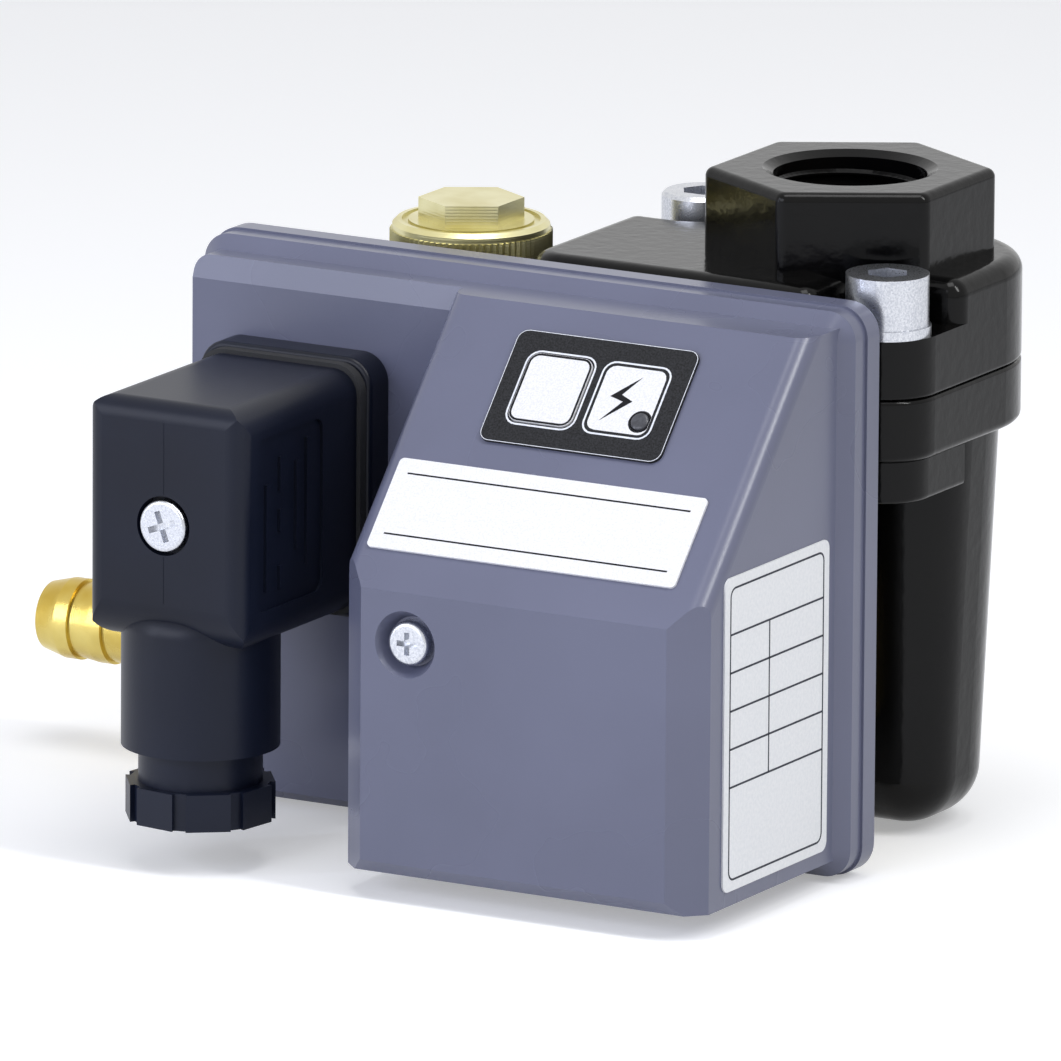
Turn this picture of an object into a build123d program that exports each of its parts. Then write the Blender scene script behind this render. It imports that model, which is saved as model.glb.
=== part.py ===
from build123d import *
from math import atan2, cos, degrees, radians, sin, tan
import os

os.makedirs("parts", exist_ok=True)

# Automatic condensate drain valve, in millimetres.
# Origin: centre of the inlet's mouth. X runs right along the cover, Y runs back, Z up.
# The unit hangs from its inlet thread; the cover, with its plug and keys, faces -Y.

# ---------------------------------------------------------------- shared clearances
seat_gap = 0.3          # loose seat between pieces that are not clamped
turn_gap = 0.08         # radial running clearance of turning and sliding pieces
slip_gap = 0.15         # radial clearance of pieces pushed together by hand
weep = 0.1              # face clearance under pieces that turn

# ---------------------------------------------------------------- inlet and head casting
hex_flats = 39.6        # across flats of the inlet hexagon
hex_corner = 2.0        # cast rounding of its corners
hex_height = 13.2       # hexagon above the head's raised top
hex_rim_round = 1.4
inlet_minor = 12.06     # G 3/4 thread, minor radius
inlet_mouth = 13.7      # radius of the lead-in chamfer
flange_right = 25.8
flange_left = -43.0
flange_front = 28.2     # head and bowl flange, in front of the inlet axis
flange_back = 24.0      # and behind it
flange_corners = ((1, -1, 9.0), (-1, 1, 9.0), (-1, -1, 6.0), (1, 1, 20.0))   # side X, side Y, radius
head_height = 16.5      # raised top down to the parting face
head_round = 2.8
parting_round = 0.7     # edges along the joint of head and bowl
pocket_round = 3.0
screw_places = [(18.3, -21.2), (-35.3, 16.4)]     # cap screws, right front and left back
screw_seat_drop = 7.0   # raised top down to the screw seats
seat_pocket = 9.4       # radius of the pocket cast round each screw
head_floor = 20.0       # ceiling of the head's chamber, below the mouth

# ---------------------------------------------------------------- cap screws, ISO 4762 M8
m8_radius = 4.0
m8_head_radius = 6.5
m8_head_height = 8.0
m8_socket_flats = 6.0
m8_socket_depth = 4.0
m8_length = 25.0
m8_hole = 4.5
washer_radius = 6.9
washer_height = 1.5

# ---------------------------------------------------------------- bowl casting
bowl_flange = 10.0      # thickness of the bowl's flange
pad_height = 6.7        # thicker band under the front of the flange
pad_back = -7.4         # its rear edge
pad_inset = 1.0         # pad inside the flange
pad_boss = 9.0          # boss under the rear cap screw
body_right = 22.5       # sides of the bowl's body at its top
body_left = -33.0
body_front = -11.5
body_back = 20.5
body_front_corner = 11.0
body_back_corner = 16.5
body_depth = 63.3       # flange underside to the bowl's bottom
body_draft = 2.5
body_round = 8.0
body_inner_round = 4.6
bowl_wall = 3.4
chamber_right = 12.6    # chamber opening that head and bowl share
chamber_left = -27.0
chamber_front = -12.6
chamber_back = 16.0
chamber_corner = 10.0
chamber_shelf = 6.0     # depth of the wide part of the chamber in the bowl
gasket_width = 1.8
gasket_depth = 1.4
gasket_margin = 0.9     # chamber edge to gasket

# ---------------------------------------------------------------- float and its rod
float_x = -18.5
float_y = 4.5
rod_radius = 2.0
float_radius = 7.6
float_height = 20.0
float_bottom = -94.0
magnet_height = 5.0
magnet_radius = 5.4
rod_spigot = 4.0        # rod length in the head's boss
clip_radius = 4.4
clip_height = 1.2

# ---------------------------------------------------------------- base plate
plate_height_gap = 0.6  # cover's lower edge to the plate's lower edge
plate_thick = 2.4
plate_inset = 1.3
plate_corner = 7.5
rim_seal_depth = 1.0    # seal ring under the cover's rim, let into the plate
rim_seal_outer = 2.0
rim_seal_inner = 2.8
rim_seal_corner = 5.5
m4_radius = 2.0
m4_head_radius = 3.5
m4_head_height = 2.4
m4_hole = 2.2
plate_screw_x = (-32.0, 3.5)
plate_screw_top = -21.0
plate_screw_low = -42.0
m4_bite = 8.0
cross_width = 3.6
cross_slot = 0.9
cross_depth = 1.3

# ---------------------------------------------------------------- cover
cover_width = 117.0
cover_height = 90.5
cover_right = 22.1
cover_top = -13.4
cover_corner = 5.0
rear_tier = 3.8         # depth of the rear tier
tier_step = 0.4
front_tier = 2.9
bevel_depth = 2.4
bevel_width = 2.2
plate_rise = 5.3        # front plate in front of the bevel's edge
front_inset = 2.6       # front plate inside the rear tier, top and sides
front_inset_low = 3.5   # the same at the bottom
front_corner = 2.4
wall = 2.4              # moulded wall
cover_screw_length = 15.0
spacer_flats = 7.0
band_height = 3.6       # leaning band along the front plate's top
band_depth = 1.4
hood_width = 63.8
hood_front = 83.7       # front face, in front of the inlet axis
hood_top_depth = 8.5    # flat top in front of the bevel's edge
hood_brow = -55.0       # height of the edge between slope and front face
hood_bevel = 5.0        # upright corner bevels of the hood
hood_low_bevel = 2.2
hood_edge = 3.0         # rounding of the slope's long edges
hood_screw_x = -31.5
hood_screw_z = -63.2
recess_radius = 5.3     # mouth of the screw's countersink
recess_floor = 3.9
recess_depth = 3.0
boss_radius = 6.2
boss_depth = 6.0

# ---------------------------------------------------------------- keys, label and badge
membrane_width = 32.0
membrane_height = 20.1
membrane_thick = 0.5
membrane_x = -13.45
membrane_up = 37.9      # centre, up the slope from the brow
membrane_corner = 1.8
key_width = 11.2
key_height = 12.2
key_corner = 1.8
key_x = -20.2
key_thick = 1.0
key_floor_gap = 0.15    # key above its pocket's floor when pressed
key_travel = 0.6
key_proud = 0.25        # key above the membrane
stem_radius = 1.9
led_x = -3.2
led_up = 34.5
led_radius = 1.5
led_proud = 0.9
badge_width = 54.3
badge_height = 16.0
badge_x = -13.9
badge_up = 15.0
badge_thick = 0.4
badge_corner = 0.8
label_depth = 33.0
label_height = 49.5
label_front = 74.8      # label's front edge, in front of the inlet axis
label_low = -98.0
label_thick = 0.3
label_corner = 1.6

# ---------------------------------------------------------------- circuit board
board_width = 42.0
board_length = 25.0
board_thick = 1.6
board_drop = 8.4        # board's upper face under the slope's outer face
board_boss = 3.2
board_screw_x = (-30.7, 3.8)
board_hole = 1.6
board_screw_radius = 1.2
board_screw_head = 2.6
board_screw_head_height = 1.6
switch_size = 6.0
switch_height = 3.6

# ---------------------------------------------------------------- valve block, strainer, cap, barb
tower_x = -59.9
tower_y = -14.0
tower_radius = 13.6
tower_top = -25.9
tower_low = -92.4
strainer_bore = 9.0
strainer_floor = -76.0
strainer_radius = 6.6
strainer_wall = 1.0
cap_radius = 12.4
cap_top = -12.3
cap_spigot = 9.5        # cap's plug below its rim
cap_hex_flats = 14.4
cap_hex_height = 3.4
cap_ring_up = 3.0       # O-ring groove above the spigot's end
cap_groove_radius = 10.4
strainer_rows = 6
strainer_hole = 1.5
cap_ring_section = 1.0
arm_right = 6.0
arm_back = -13.5
arm_top = -66.0
arm_low = -88.0
arm_screw_x = (-46.0, -28.0)
outlet_radius = 8.0
outlet_left = -89.7
barb_y = -20.0
barb_z = -84.0
barb_end = -132.6
barb_bore = 4.4
barb_thread = 6.15     # G 1/4 at its pitch radius
barb_thread_length = 9.0
barb_hex_flats = 15.0
barb_hex_length = 7.0
barb_ridge = 6.5
barb_root = 6.0
barb_nose = 5.5
barb_pitch = 6.2
barb_count = 4
barb_land = 2.4
seal_width = 1.4

# ---------------------------------------------------------------- solenoid valve
coil_x = -8.0
coil_z = -77.0
tube_radius = 6.0
tube_bore = 4.5
tube_thread = 7.0
tube_thread_length = 5.0
tube_collar = 9.2
tube_collar_length = 4.4
tube_length = 35.2      # collar to the tube's end
stud_radius = 4.0
stud_length = 8.0
plunger_length = 23.0
tube_end_wall = 2.0
seal_proud = 0.2
spring_pocket = 8.0
yoke_width = 24.0
sensor_width = 10.0
sensor_depth = 14.0
sensor_height = 14.0
sensor_low = -63.0
core_air = 3.0          # closed valve: plunger to fixed core
seal_radius = 2.6
seal_thick = 1.8
seat_radius = 4.6
seat_thick = 4.4
orifice = 1.6
spring_radius = 2.7
spring_wire = 0.5
spring_turns = 6
coil_width = 30.0
coil_height = 36.0
coil_length = 32.0
yoke_thick = 1.6
coil_nut_flats = 13.0
coil_nut_height = 5.0

# ---------------------------------------------------------------- plug, EN 175301-803 form A
plug_x = -72.3
plug_z = -48.6
plug_width = 28.0
plug_height = 38.7
plug_front = 87.7       # front face, in front of the inlet axis
plug_corner = 4.2
plug_face_round = 3.0
plug_brow_cut = 6.6     # rounding under the front face
plug_wall = 2.2
socket_width = 30.8
socket_height = 41.6
socket_depth = 5.6
socket_corner = 4.6
socket_stem = 22.0      # square stem through the cover
socket_stem_depth = 7.0
profile_gasket = 1.8
insert_width = 22.4
insert_height = 31.0
insert_depth = 17.0
pin_width = 6.3
pin_thick = 0.8
pin_length = 9.0
pin_spread = 9.0        # centre to each contact
terminal_size = 4.2
terminal_depth = 6.0
terminal_hole = 1.2
socket_screw_bite = 5.0
plug_screw_head = 4.1
plug_screw_recess = 4.7
plug_screw_radius = 1.5
plug_screw_sink = 2.2
plug_screw_height = 2.6
plug_screw_slot = 1.0
plug_cross = 5.0
plug_slot_depth = 1.2
plug_slot_turn = 20
plug_boss = 4.6
panel_depth = 0.5
panel_width = 20.0
panel_height = 27.5
panel_bars = ((3.2, 11.5, 17.0), (7.4, 4.6, 3.6), (7.4, 13.6, 3.6), (7.4, 21.0, 5.4), (12.4, 15.2, 14.0),
              (15.6, 15.2, 20.0))   # raised bars in each panel: place along Y, centre height, length
panel_rib = 0.9
panel_front = 82.8      # panel's front edge, in front of the inlet axis
panel_low = -62.0
gland_y = -76.1
gland_radius = 12.4
gland_low = -85.4
gland_shoulder = 5.0    # gland above the housing's underside
gland_round = 3.5
nut_lobes = 8
nut_turn = 14
nut_notch = 1.3
nut_notch_width = 2.2
nut_radius = 12.3
nut_low = -97.0
nut_top = -91.1
shank_radius = 9.7
shank_top = -76.9
cable_radius = 5.0
seal_ring_height = 7.0
ring_height = 1.0

# ---------------------------------------------------------------- port from bowl to valve block
port_x = -24.0
port_z = -79.5
port_boss = 6.5
port_radius = 1.8
port_seal_outer = 4.4
port_seal_inner = 3.0
port_seal_depth = 1.0
passage_y = -16.2       # inlet and outlet passages in the arm
feed_y = -21.7          # passage from the strainer's bore to the valve chamber
feed_z = -72.0
feed_radius = 1.3
valve_bore_depth = 8.0
seat_pocket_depth = 2.8
tube_seal_depth = 1.0

# ---------------------------------------------------------------- derived places
head_top = -hex_height
head_bottom = head_top - head_height
screw_seat = head_top - screw_seat_drop
flange_width = flange_right - flange_left
flange_x = (flange_right + flange_left) / 2
flange_depth = flange_front + flange_back
flange_y = (flange_back - flange_front) / 2
flange_under = head_bottom - bowl_flange
pad_under = flange_under - pad_height
bowl_bottom = flange_under - body_depth
chamber_x = (chamber_left + chamber_right) / 2
chamber_y = (chamber_front + chamber_back) / 2
chamber_width = chamber_right - chamber_left
chamber_depth = chamber_back - chamber_front

cover_back = flange_front + plate_thick
step_at = cover_back + rear_tier
bevel_at = step_at + front_tier
bevel_edge = bevel_at + bevel_depth
front_plate = bevel_edge + plate_rise
cover_left = cover_right - cover_width
cover_low = cover_top - cover_height
cover_x = (cover_left + cover_right) / 2
cover_z = (cover_top + cover_low) / 2
front_left = cover_left + front_inset
front_right = cover_right - front_inset
front_top = cover_top - front_inset
front_low = cover_low + front_inset_low
hood_right = front_right
hood_left = hood_right - hood_width
slope_top = bevel_edge + hood_top_depth
slope_run = hood_front - slope_top
slope_rise = front_top - hood_brow
slope_angle = degrees(atan2(slope_rise, slope_run))
slope_face = Plane(origin=(0, -hood_front, hood_brow), x_dir=(1, 0, 0),
                   z_dir=(0, -sin(radians(slope_angle)), cos(radians(slope_angle))))


def front(distance):
    """Upright plane at this distance in front of the inlet axis, looking at the cover."""
    return Plane.XZ.offset(distance)


def on_slope(height):
    """Plane parallel to the hood's slope, this far outside its face."""
    return slope_face.offset(height)


def finish(part, name):
    """Names a finished piece and writes it."""
    part.label = name
    export_step(part, "parts/" + name + ".step")


def cornered(height, left, right, front_y, back_y, corners):
    """Upright rectangle's outline with a radius of its own on each corner."""
    with BuildSketch(Plane.XY.offset(height)) as outline:
        with Locations(((left + right) / 2, (front_y + back_y) / 2)):
            Rectangle(right - left, back_y - front_y)
        for side_x, side_y, radius in corners:
            far = outline.vertices().sort_by(lambda spot: side_x * spot.X + side_y * spot.Y)[-1]
            fillet(far, radius)
    return outline.sketch


def flange_outline(height, inset=0):
    """Outline that the head and the bowl's flange share, or that outline drawn in."""
    corners = [(side_x, side_y, radius - inset) for side_x, side_y, radius in flange_corners]
    return cornered(height, flange_left + inset, flange_right - inset, inset - flange_front,
                    flange_back - inset, corners)


def body_outline(height, inset):
    """Outline of the bowl's body, or of its cavity when inset by the wall."""
    corners = ((1, -1, body_front_corner - inset), (-1, -1, body_front_corner - inset),
               (-1, 1, body_back_corner - inset), (1, 1, body_back_corner - inset))
    return cornered(height, body_left + inset, body_right - inset, body_front + inset,
                    body_back - inset, corners)


# ================================================================ head casting
# the head's upper half stands back from the cap screws in rounded pockets
with BuildSketch(Plane.XY.offset(screw_seat)) as upper_outline:
    add(flange_outline(0))
    for x, y in screw_places:
        side_x = 1 if x > 0 else -1
        side_y = 1 if y > 0 else -1
        with Locations((x, y)):
            Circle(seat_pocket, mode=Mode.SUBTRACT)
        with Locations((x + side_x * seat_pocket, y), (x, y + side_y * seat_pocket)):
            Rectangle(2 * seat_pocket, 2 * seat_pocket, mode=Mode.SUBTRACT)
    pocket_ends = [spot for spot in upper_outline.vertices()
                   if any(abs(spot.X - x) < 2 * seat_pocket and abs(spot.Y - y) < 2 * seat_pocket
                          and (abs(spot.X - flange_right) < 0.01 or abs(spot.X - flange_left) < 0.01
                               or abs(spot.Y + flange_front) < 0.01 or abs(spot.Y - flange_back) < 0.01)
                          for x, y in screw_places)]
    fillet(pocket_ends, pocket_round)

with BuildPart() as head_casting:
    extrude(flange_outline(head_bottom), amount=screw_seat - head_bottom)
    fillet(head_casting.faces().sort_by(Axis.Z)[0].edges(), parting_round)
    extrude(upper_outline.sketch, amount=head_top - screw_seat)
    fillet(head_casting.faces().sort_by(Axis.Z)[-1].edges(), head_round)
    # hexagon, its flats carried down to the screw seats
    with BuildSketch(Plane.XY.offset(screw_seat)) as hex_outline:
        RegularPolygon(hex_flats / 2, 6, major_radius=False, rotation=30)
        fillet(hex_outline.vertices(), hex_corner)
    extrude(amount=-screw_seat)
    fillet(head_casting.faces().sort_by(Axis.Z)[-1].edges(), hex_rim_round)
    # chamber and threaded inlet
    with BuildSketch(Plane.XY.offset(head_bottom)):
        with Locations((chamber_x, chamber_y)):
            RectangleRounded(chamber_width, chamber_depth, chamber_corner)
    extrude(amount=-head_floor - head_bottom, mode=Mode.SUBTRACT)
    with Locations((0, 0, 0)):
        CounterSinkHole(inlet_minor, inlet_mouth, depth=head_floor + 1, counter_sink_angle=120)
    # cap screw holes, rod boss and plate screw holes
    with Locations(*[(x, y, screw_seat) for x, y in screw_places]):
        Hole(m8_hole, depth=head_height)
    with BuildSketch(Plane.XY.offset(-head_floor)):
        with Locations((float_x, float_y)):
            Circle(rod_radius + 2.4)
    extrude(amount=-rod_spigot)
    with BuildSketch(Plane.XY.offset(-head_floor - rod_spigot)):
        with Locations((float_x, float_y)):
            Circle(rod_radius + slip_gap / 2)
    extrude(amount=rod_spigot + 2, mode=Mode.SUBTRACT)
    with BuildSketch(front(flange_front)):
        with Locations(*[(x, plate_screw_top) for x in plate_screw_x]):
            Circle(m4_hole)
    extrude(amount=-m4_bite, mode=Mode.SUBTRACT)
finish(head_casting.part, "head_casting")

# ================================================================ bowl casting
with BuildPart() as bowl_chamber:
    with BuildSketch(Plane.XY.offset(head_bottom)):
        with Locations((chamber_x, chamber_y)):
            RectangleRounded(chamber_width, chamber_depth, chamber_corner)
    extrude(amount=-chamber_shelf)
    extrude(body_outline(flange_under, bowl_wall), amount=bowl_wall - body_depth, taper=body_draft)
    fillet(bowl_chamber.faces().sort_by(Axis.Z)[0].edges(), body_inner_round)
    neck_front = body_front + bowl_wall
    with BuildSketch(Plane.XY.offset(flange_under - 1)):
        with Locations((chamber_x, (neck_front + chamber_back) / 2)):
            RectangleRounded(chamber_width, chamber_back - neck_front, body_inner_round)
    extrude(amount=bowl_flange - chamber_shelf + 2)

with BuildPart() as bowl_casting:
    extrude(flange_outline(pad_under, pad_inset), amount=pad_height)
    fillet(bowl_casting.faces().sort_by(Axis.Z)[0].edges(), pad_inset)
    with BuildSketch(Plane.XY.offset(pad_under)):
        with Locations((flange_x, pad_back + flange_depth / 2)):
            Rectangle(flange_width, flange_depth)
        with Locations(screw_places[1]):
            Circle(pad_boss, mode=Mode.SUBTRACT)
    extrude(amount=pad_height, mode=Mode.SUBTRACT)
    with BuildPart(mode=Mode.PRIVATE) as flange_block:
        extrude(flange_outline(flange_under), amount=bowl_flange)
        fillet(flange_block.faces().sort_by(Axis.Z)[-1].edges(), parting_round)
        fillet(flange_block.faces().sort_by(Axis.Z)[0].edges(), 2 * parting_round)
    add(flange_block.part)
    extrude(body_outline(flange_under, 0), amount=-body_depth, taper=body_draft)
    fillet(bowl_casting.faces().sort_by(Axis.Z)[0].edges(), body_round)
    # outlet port boss on the front wall
    with BuildSketch(front(-arm_back)):
        with Locations((port_x, port_z)):
            Circle(port_boss)
    extrude(amount=arm_back - float_y)
    add(bowl_chamber.part, mode=Mode.SUBTRACT)
    with BuildSketch(front(-arm_back)):
        with Locations((port_x, port_z)):
            Circle(port_radius)
    extrude(amount=arm_back - float_y, mode=Mode.SUBTRACT)
    # tapped screw holes, gasket groove and plate screw holes
    with BuildSketch(Plane.XY.offset(head_bottom)):
        with Locations(*screw_places):
            Circle(m8_radius + slip_gap)
    extrude(amount=-(m8_length - (screw_seat + washer_height - head_bottom)) - seat_gap, mode=Mode.SUBTRACT)
    with BuildSketch(Plane.XY.offset(head_bottom)):
        with Locations((chamber_x, chamber_y)):
            for grow, mode in ((gasket_margin + gasket_width, Mode.ADD), (gasket_margin, Mode.SUBTRACT)):
                RectangleRounded(chamber_width + 2 * grow, chamber_depth + 2 * grow,
                                 chamber_corner + grow, mode=mode)
    extrude(amount=-gasket_depth, mode=Mode.SUBTRACT)
    with BuildSketch(front(flange_front)):
        with Locations(*[(x, plate_screw_low) for x in plate_screw_x]):
            Circle(m4_hole)
    extrude(amount=-m4_bite, mode=Mode.SUBTRACT)
finish(bowl_casting.part, "bowl_casting")

with BuildPart() as bowl_gasket:
    with BuildSketch(Plane.XY.offset(head_bottom)):
        with Locations((chamber_x, chamber_y)):
            for grow, mode in ((gasket_margin + gasket_width, Mode.ADD), (gasket_margin, Mode.SUBTRACT)):
                RectangleRounded(chamber_width + 2 * grow, chamber_depth + 2 * grow,
                                 chamber_corner + grow, mode=mode)
    extrude(amount=-gasket_depth)
finish(bowl_gasket.part, "bowl_gasket")

# ================================================================ cap screws and washers
screw_under = screw_seat + washer_height
with BuildPart() as head_washers:
    with BuildSketch(Plane.XY.offset(screw_seat)):
        with Locations(*screw_places):
            Circle(washer_radius)
            Circle(m8_radius + slip_gap, mode=Mode.SUBTRACT)
    extrude(amount=washer_height)
finish(head_washers.part, "head_washers")

with BuildPart() as head_screws:
    with BuildSketch(Plane.XY.offset(screw_under)):
        with Locations(*screw_places):
            Circle(m8_head_radius)
    extrude(amount=m8_head_height)
    chamfer(head_screws.faces().sort_by(Axis.Z)[-1].edges().group_by(Axis.Z)[-1], 0.6)
    with BuildSketch(Plane.XY.offset(screw_under)):
        with Locations(*screw_places):
            Circle(m8_radius)
    extrude(amount=-m8_length)
    with BuildSketch(Plane.XY.offset(screw_under + m8_head_height)):
        with Locations(*screw_places):
            RegularPolygon(m8_socket_flats / 2, 6, major_radius=False)
    extrude(amount=-m8_socket_depth, mode=Mode.SUBTRACT)
finish(head_screws.part, "head_screws")

# ================================================================ float on its guide rod
rod_low = bowl_bottom + bowl_wall + seat_gap
with BuildPart() as guide_rod:
    with BuildSketch(Plane.XY.offset(rod_low)):
        with Locations((float_x, float_y)):
            Circle(rod_radius)
    extrude(amount=-head_floor - rod_low + 1.5)
    with BuildSketch(Plane.XY.offset(float_bottom - seat_gap - clip_height)):
        with Locations((float_x, float_y)):
            Circle(clip_radius)
            Circle(rod_radius - 0.5, mode=Mode.SUBTRACT)
    extrude(amount=clip_height)
finish(guide_rod.part, "guide_rod")

with BuildPart() as level_float:
    with BuildSketch(Plane.XY.offset(float_bottom)):
        with Locations((float_x, float_y)):
            Circle(float_radius)
    extrude(amount=float_height)
    fillet(level_float.edges().filter_by(GeomType.CIRCLE), 1.6)
    with BuildSketch(Plane.XY.offset(float_bottom)):
        with Locations((float_x, float_y)):
            Circle(rod_radius + turn_gap)
    extrude(amount=float_height, mode=Mode.SUBTRACT)
    with BuildSketch(Plane.XY.offset(float_bottom + float_height - magnet_height)):
        with Locations((float_x, float_y)):
            Circle(magnet_radius + slip_gap / 2)
    extrude(amount=magnet_height, mode=Mode.SUBTRACT)
finish(level_float.part, "level_float")

with BuildPart() as float_magnet:
    with BuildSketch(Plane.XY.offset(float_bottom + float_height - magnet_height)):
        with Locations((float_x, float_y)):
            Circle(magnet_radius)
            Circle(rod_radius + 2 * turn_gap, mode=Mode.SUBTRACT)
    extrude(amount=magnet_height)
finish(float_magnet.part, "float_magnet")

# ================================================================ base plate and its screws
plate_low = cover_low + plate_height_gap
plate_width = cover_width - 2 * plate_inset
plate_tall = cover_top - plate_inset - plate_low
plate_z = (cover_top - plate_inset + plate_low) / 2
plate_screws = [(x, z) for x in plate_screw_x for z in (plate_screw_top, plate_screw_low)]
arm_z = (arm_top + arm_low) / 2
with BuildSketch(front(cover_back)) as rim_ring:
    with Locations((cover_x, cover_z)):
        for inset, way in ((rim_seal_outer, Mode.ADD), (rim_seal_inner, Mode.SUBTRACT)):
            RectangleRounded(cover_width - 2 * inset, cover_height - 2 * inset, rim_seal_corner, mode=way)


with BuildPart() as base_plate:
    with BuildSketch(front(flange_front)):
        with Locations((cover_x, plate_z)):
            RectangleRounded(plate_width, plate_tall, plate_corner)
        with Locations(*plate_screws):
            Circle(m4_hole, mode=Mode.SUBTRACT)
        with Locations(*[(x, arm_z) for x in arm_screw_x]):
            Circle(m4_hole, mode=Mode.SUBTRACT)
        with Locations((coil_x, coil_z)):
            Circle(tube_collar + seat_gap, mode=Mode.SUBTRACT)
        with Locations((hood_screw_x, hood_screw_z)):
            Circle(m4_hole, mode=Mode.SUBTRACT)
    extrude(amount=plate_thick)
    extrude(rim_ring.sketch, amount=-rim_seal_depth, mode=Mode.SUBTRACT)
finish(base_plate.part, "base_plate")

with BuildPart() as cover_gasket:
    extrude(rim_ring.sketch, amount=-rim_seal_depth)
finish(cover_gasket.part, "cover_gasket")

def pan_screws(places, seat, length):
    """Cross-recess pan head screws at these X, Z places, driven back from a seat plane."""
    with BuildPart() as screws:
        with BuildSketch(front(seat)):
            with Locations(*places):
                Circle(m4_head_radius)
        extrude(amount=m4_head_height)
        fillet(screws.edges().group_by(Axis.Y)[0], 0.8)
        with BuildSketch(front(seat)):
            with Locations(*places):
                Circle(m4_radius)
        extrude(amount=-length)
        with BuildSketch(front(seat + m4_head_height)):
            with Locations(*places):
                Rectangle(cross_width, cross_slot)
                Rectangle(cross_slot, cross_width)
        extrude(amount=-cross_depth, mode=Mode.SUBTRACT)
    return screws.part


finish(pan_screws(plate_screws, cover_back, plate_thick + m4_bite - 1), "plate_screws")

# ================================================================ cover
def tier(distance, depth, inset, corner):
    """One step of the cover's rim, inset from its rear outline."""
    with BuildPart() as step:
        with BuildSketch(front(distance)):
            with Locations((cover_x, cover_z)):
                RectangleRounded(cover_width - 2 * inset, cover_height - 2 * inset, corner)
        extrude(amount=depth)
    return step.part


def hood_form(inset):
    """The hood as a solid, this far inside its outer walls; it starts inside the rim."""
    with BuildPart() as form:
        with BuildSketch(Plane.YZ.offset(hood_left + inset)) as side:
            with BuildLine():
                Polyline((-bevel_at, front_top), (-slope_top, front_top), (-hood_front, hood_brow),
                         (-hood_front, front_low + hood_low_bevel),
                         (-hood_front + hood_low_bevel, front_low), (-bevel_at, front_low), close=True)
            make_face()
            if inset:
                offset(amount=-inset, kind=Kind.INTERSECTION)
        extrude(amount=hood_width - 2 * inset)
        with BuildSketch(Plane.XY.offset(front_top)) as plan:
            with Locations(((hood_left + hood_right) / 2, -(hood_front + bevel_at) / 2)):
                Rectangle(hood_width - 2 * inset, hood_front - bevel_at - 2 * inset)
            chamfer(plan.vertices().group_by(Axis.Y)[0], hood_bevel)
        extrude(amount=front_low - front_top, mode=Mode.INTERSECT)
    return form.part


rear_rim = tier(cover_back, rear_tier, 0, cover_corner)
with BuildPart() as front_rim:
    with BuildSketch(front(step_at)):
        with Locations((cover_x, cover_z)):
            RectangleRounded(cover_width - 2 * tier_step, cover_height - 2 * tier_step,
                             cover_corner - tier_step)
    extrude(amount=front_tier + bevel_depth)
    chamfer(front_rim.faces().sort_by(Axis.Y)[0].edges(), bevel_depth, bevel_width,
            reference=front_rim.faces().sort_by(Axis.Y)[0])

with BuildPart() as front_block:
    with BuildSketch(front(bevel_at)):
        with Locations(((front_left + front_right) / 2, (front_top + front_low) / 2)):
            RectangleRounded(front_right - front_left, front_top - front_low, front_corner)
    extrude(amount=front_plate - bevel_at)
    # leaning band along the top of the front plate
    with BuildSketch(Plane.YZ.offset(front_left - 1)):
        with BuildLine():
            Polyline((-front_plate, front_top - band_height), (-front_plate + band_depth, front_top),
                     (-front_plate, front_top), close=True)
        make_face()
    extrude(amount=front_right - front_left + 2, mode=Mode.SUBTRACT)

with BuildPart() as hood_block:
    add(hood_form(0))
    long_edges = [edge for edge in hood_block.edges()
                  if abs(edge.center().Y + (slope_top + hood_front) / 2) < 6
                  and abs(edge.length - (slope_run ** 2 + slope_rise ** 2) ** 0.5) < 8]
    fillet(long_edges, hood_edge)

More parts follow.
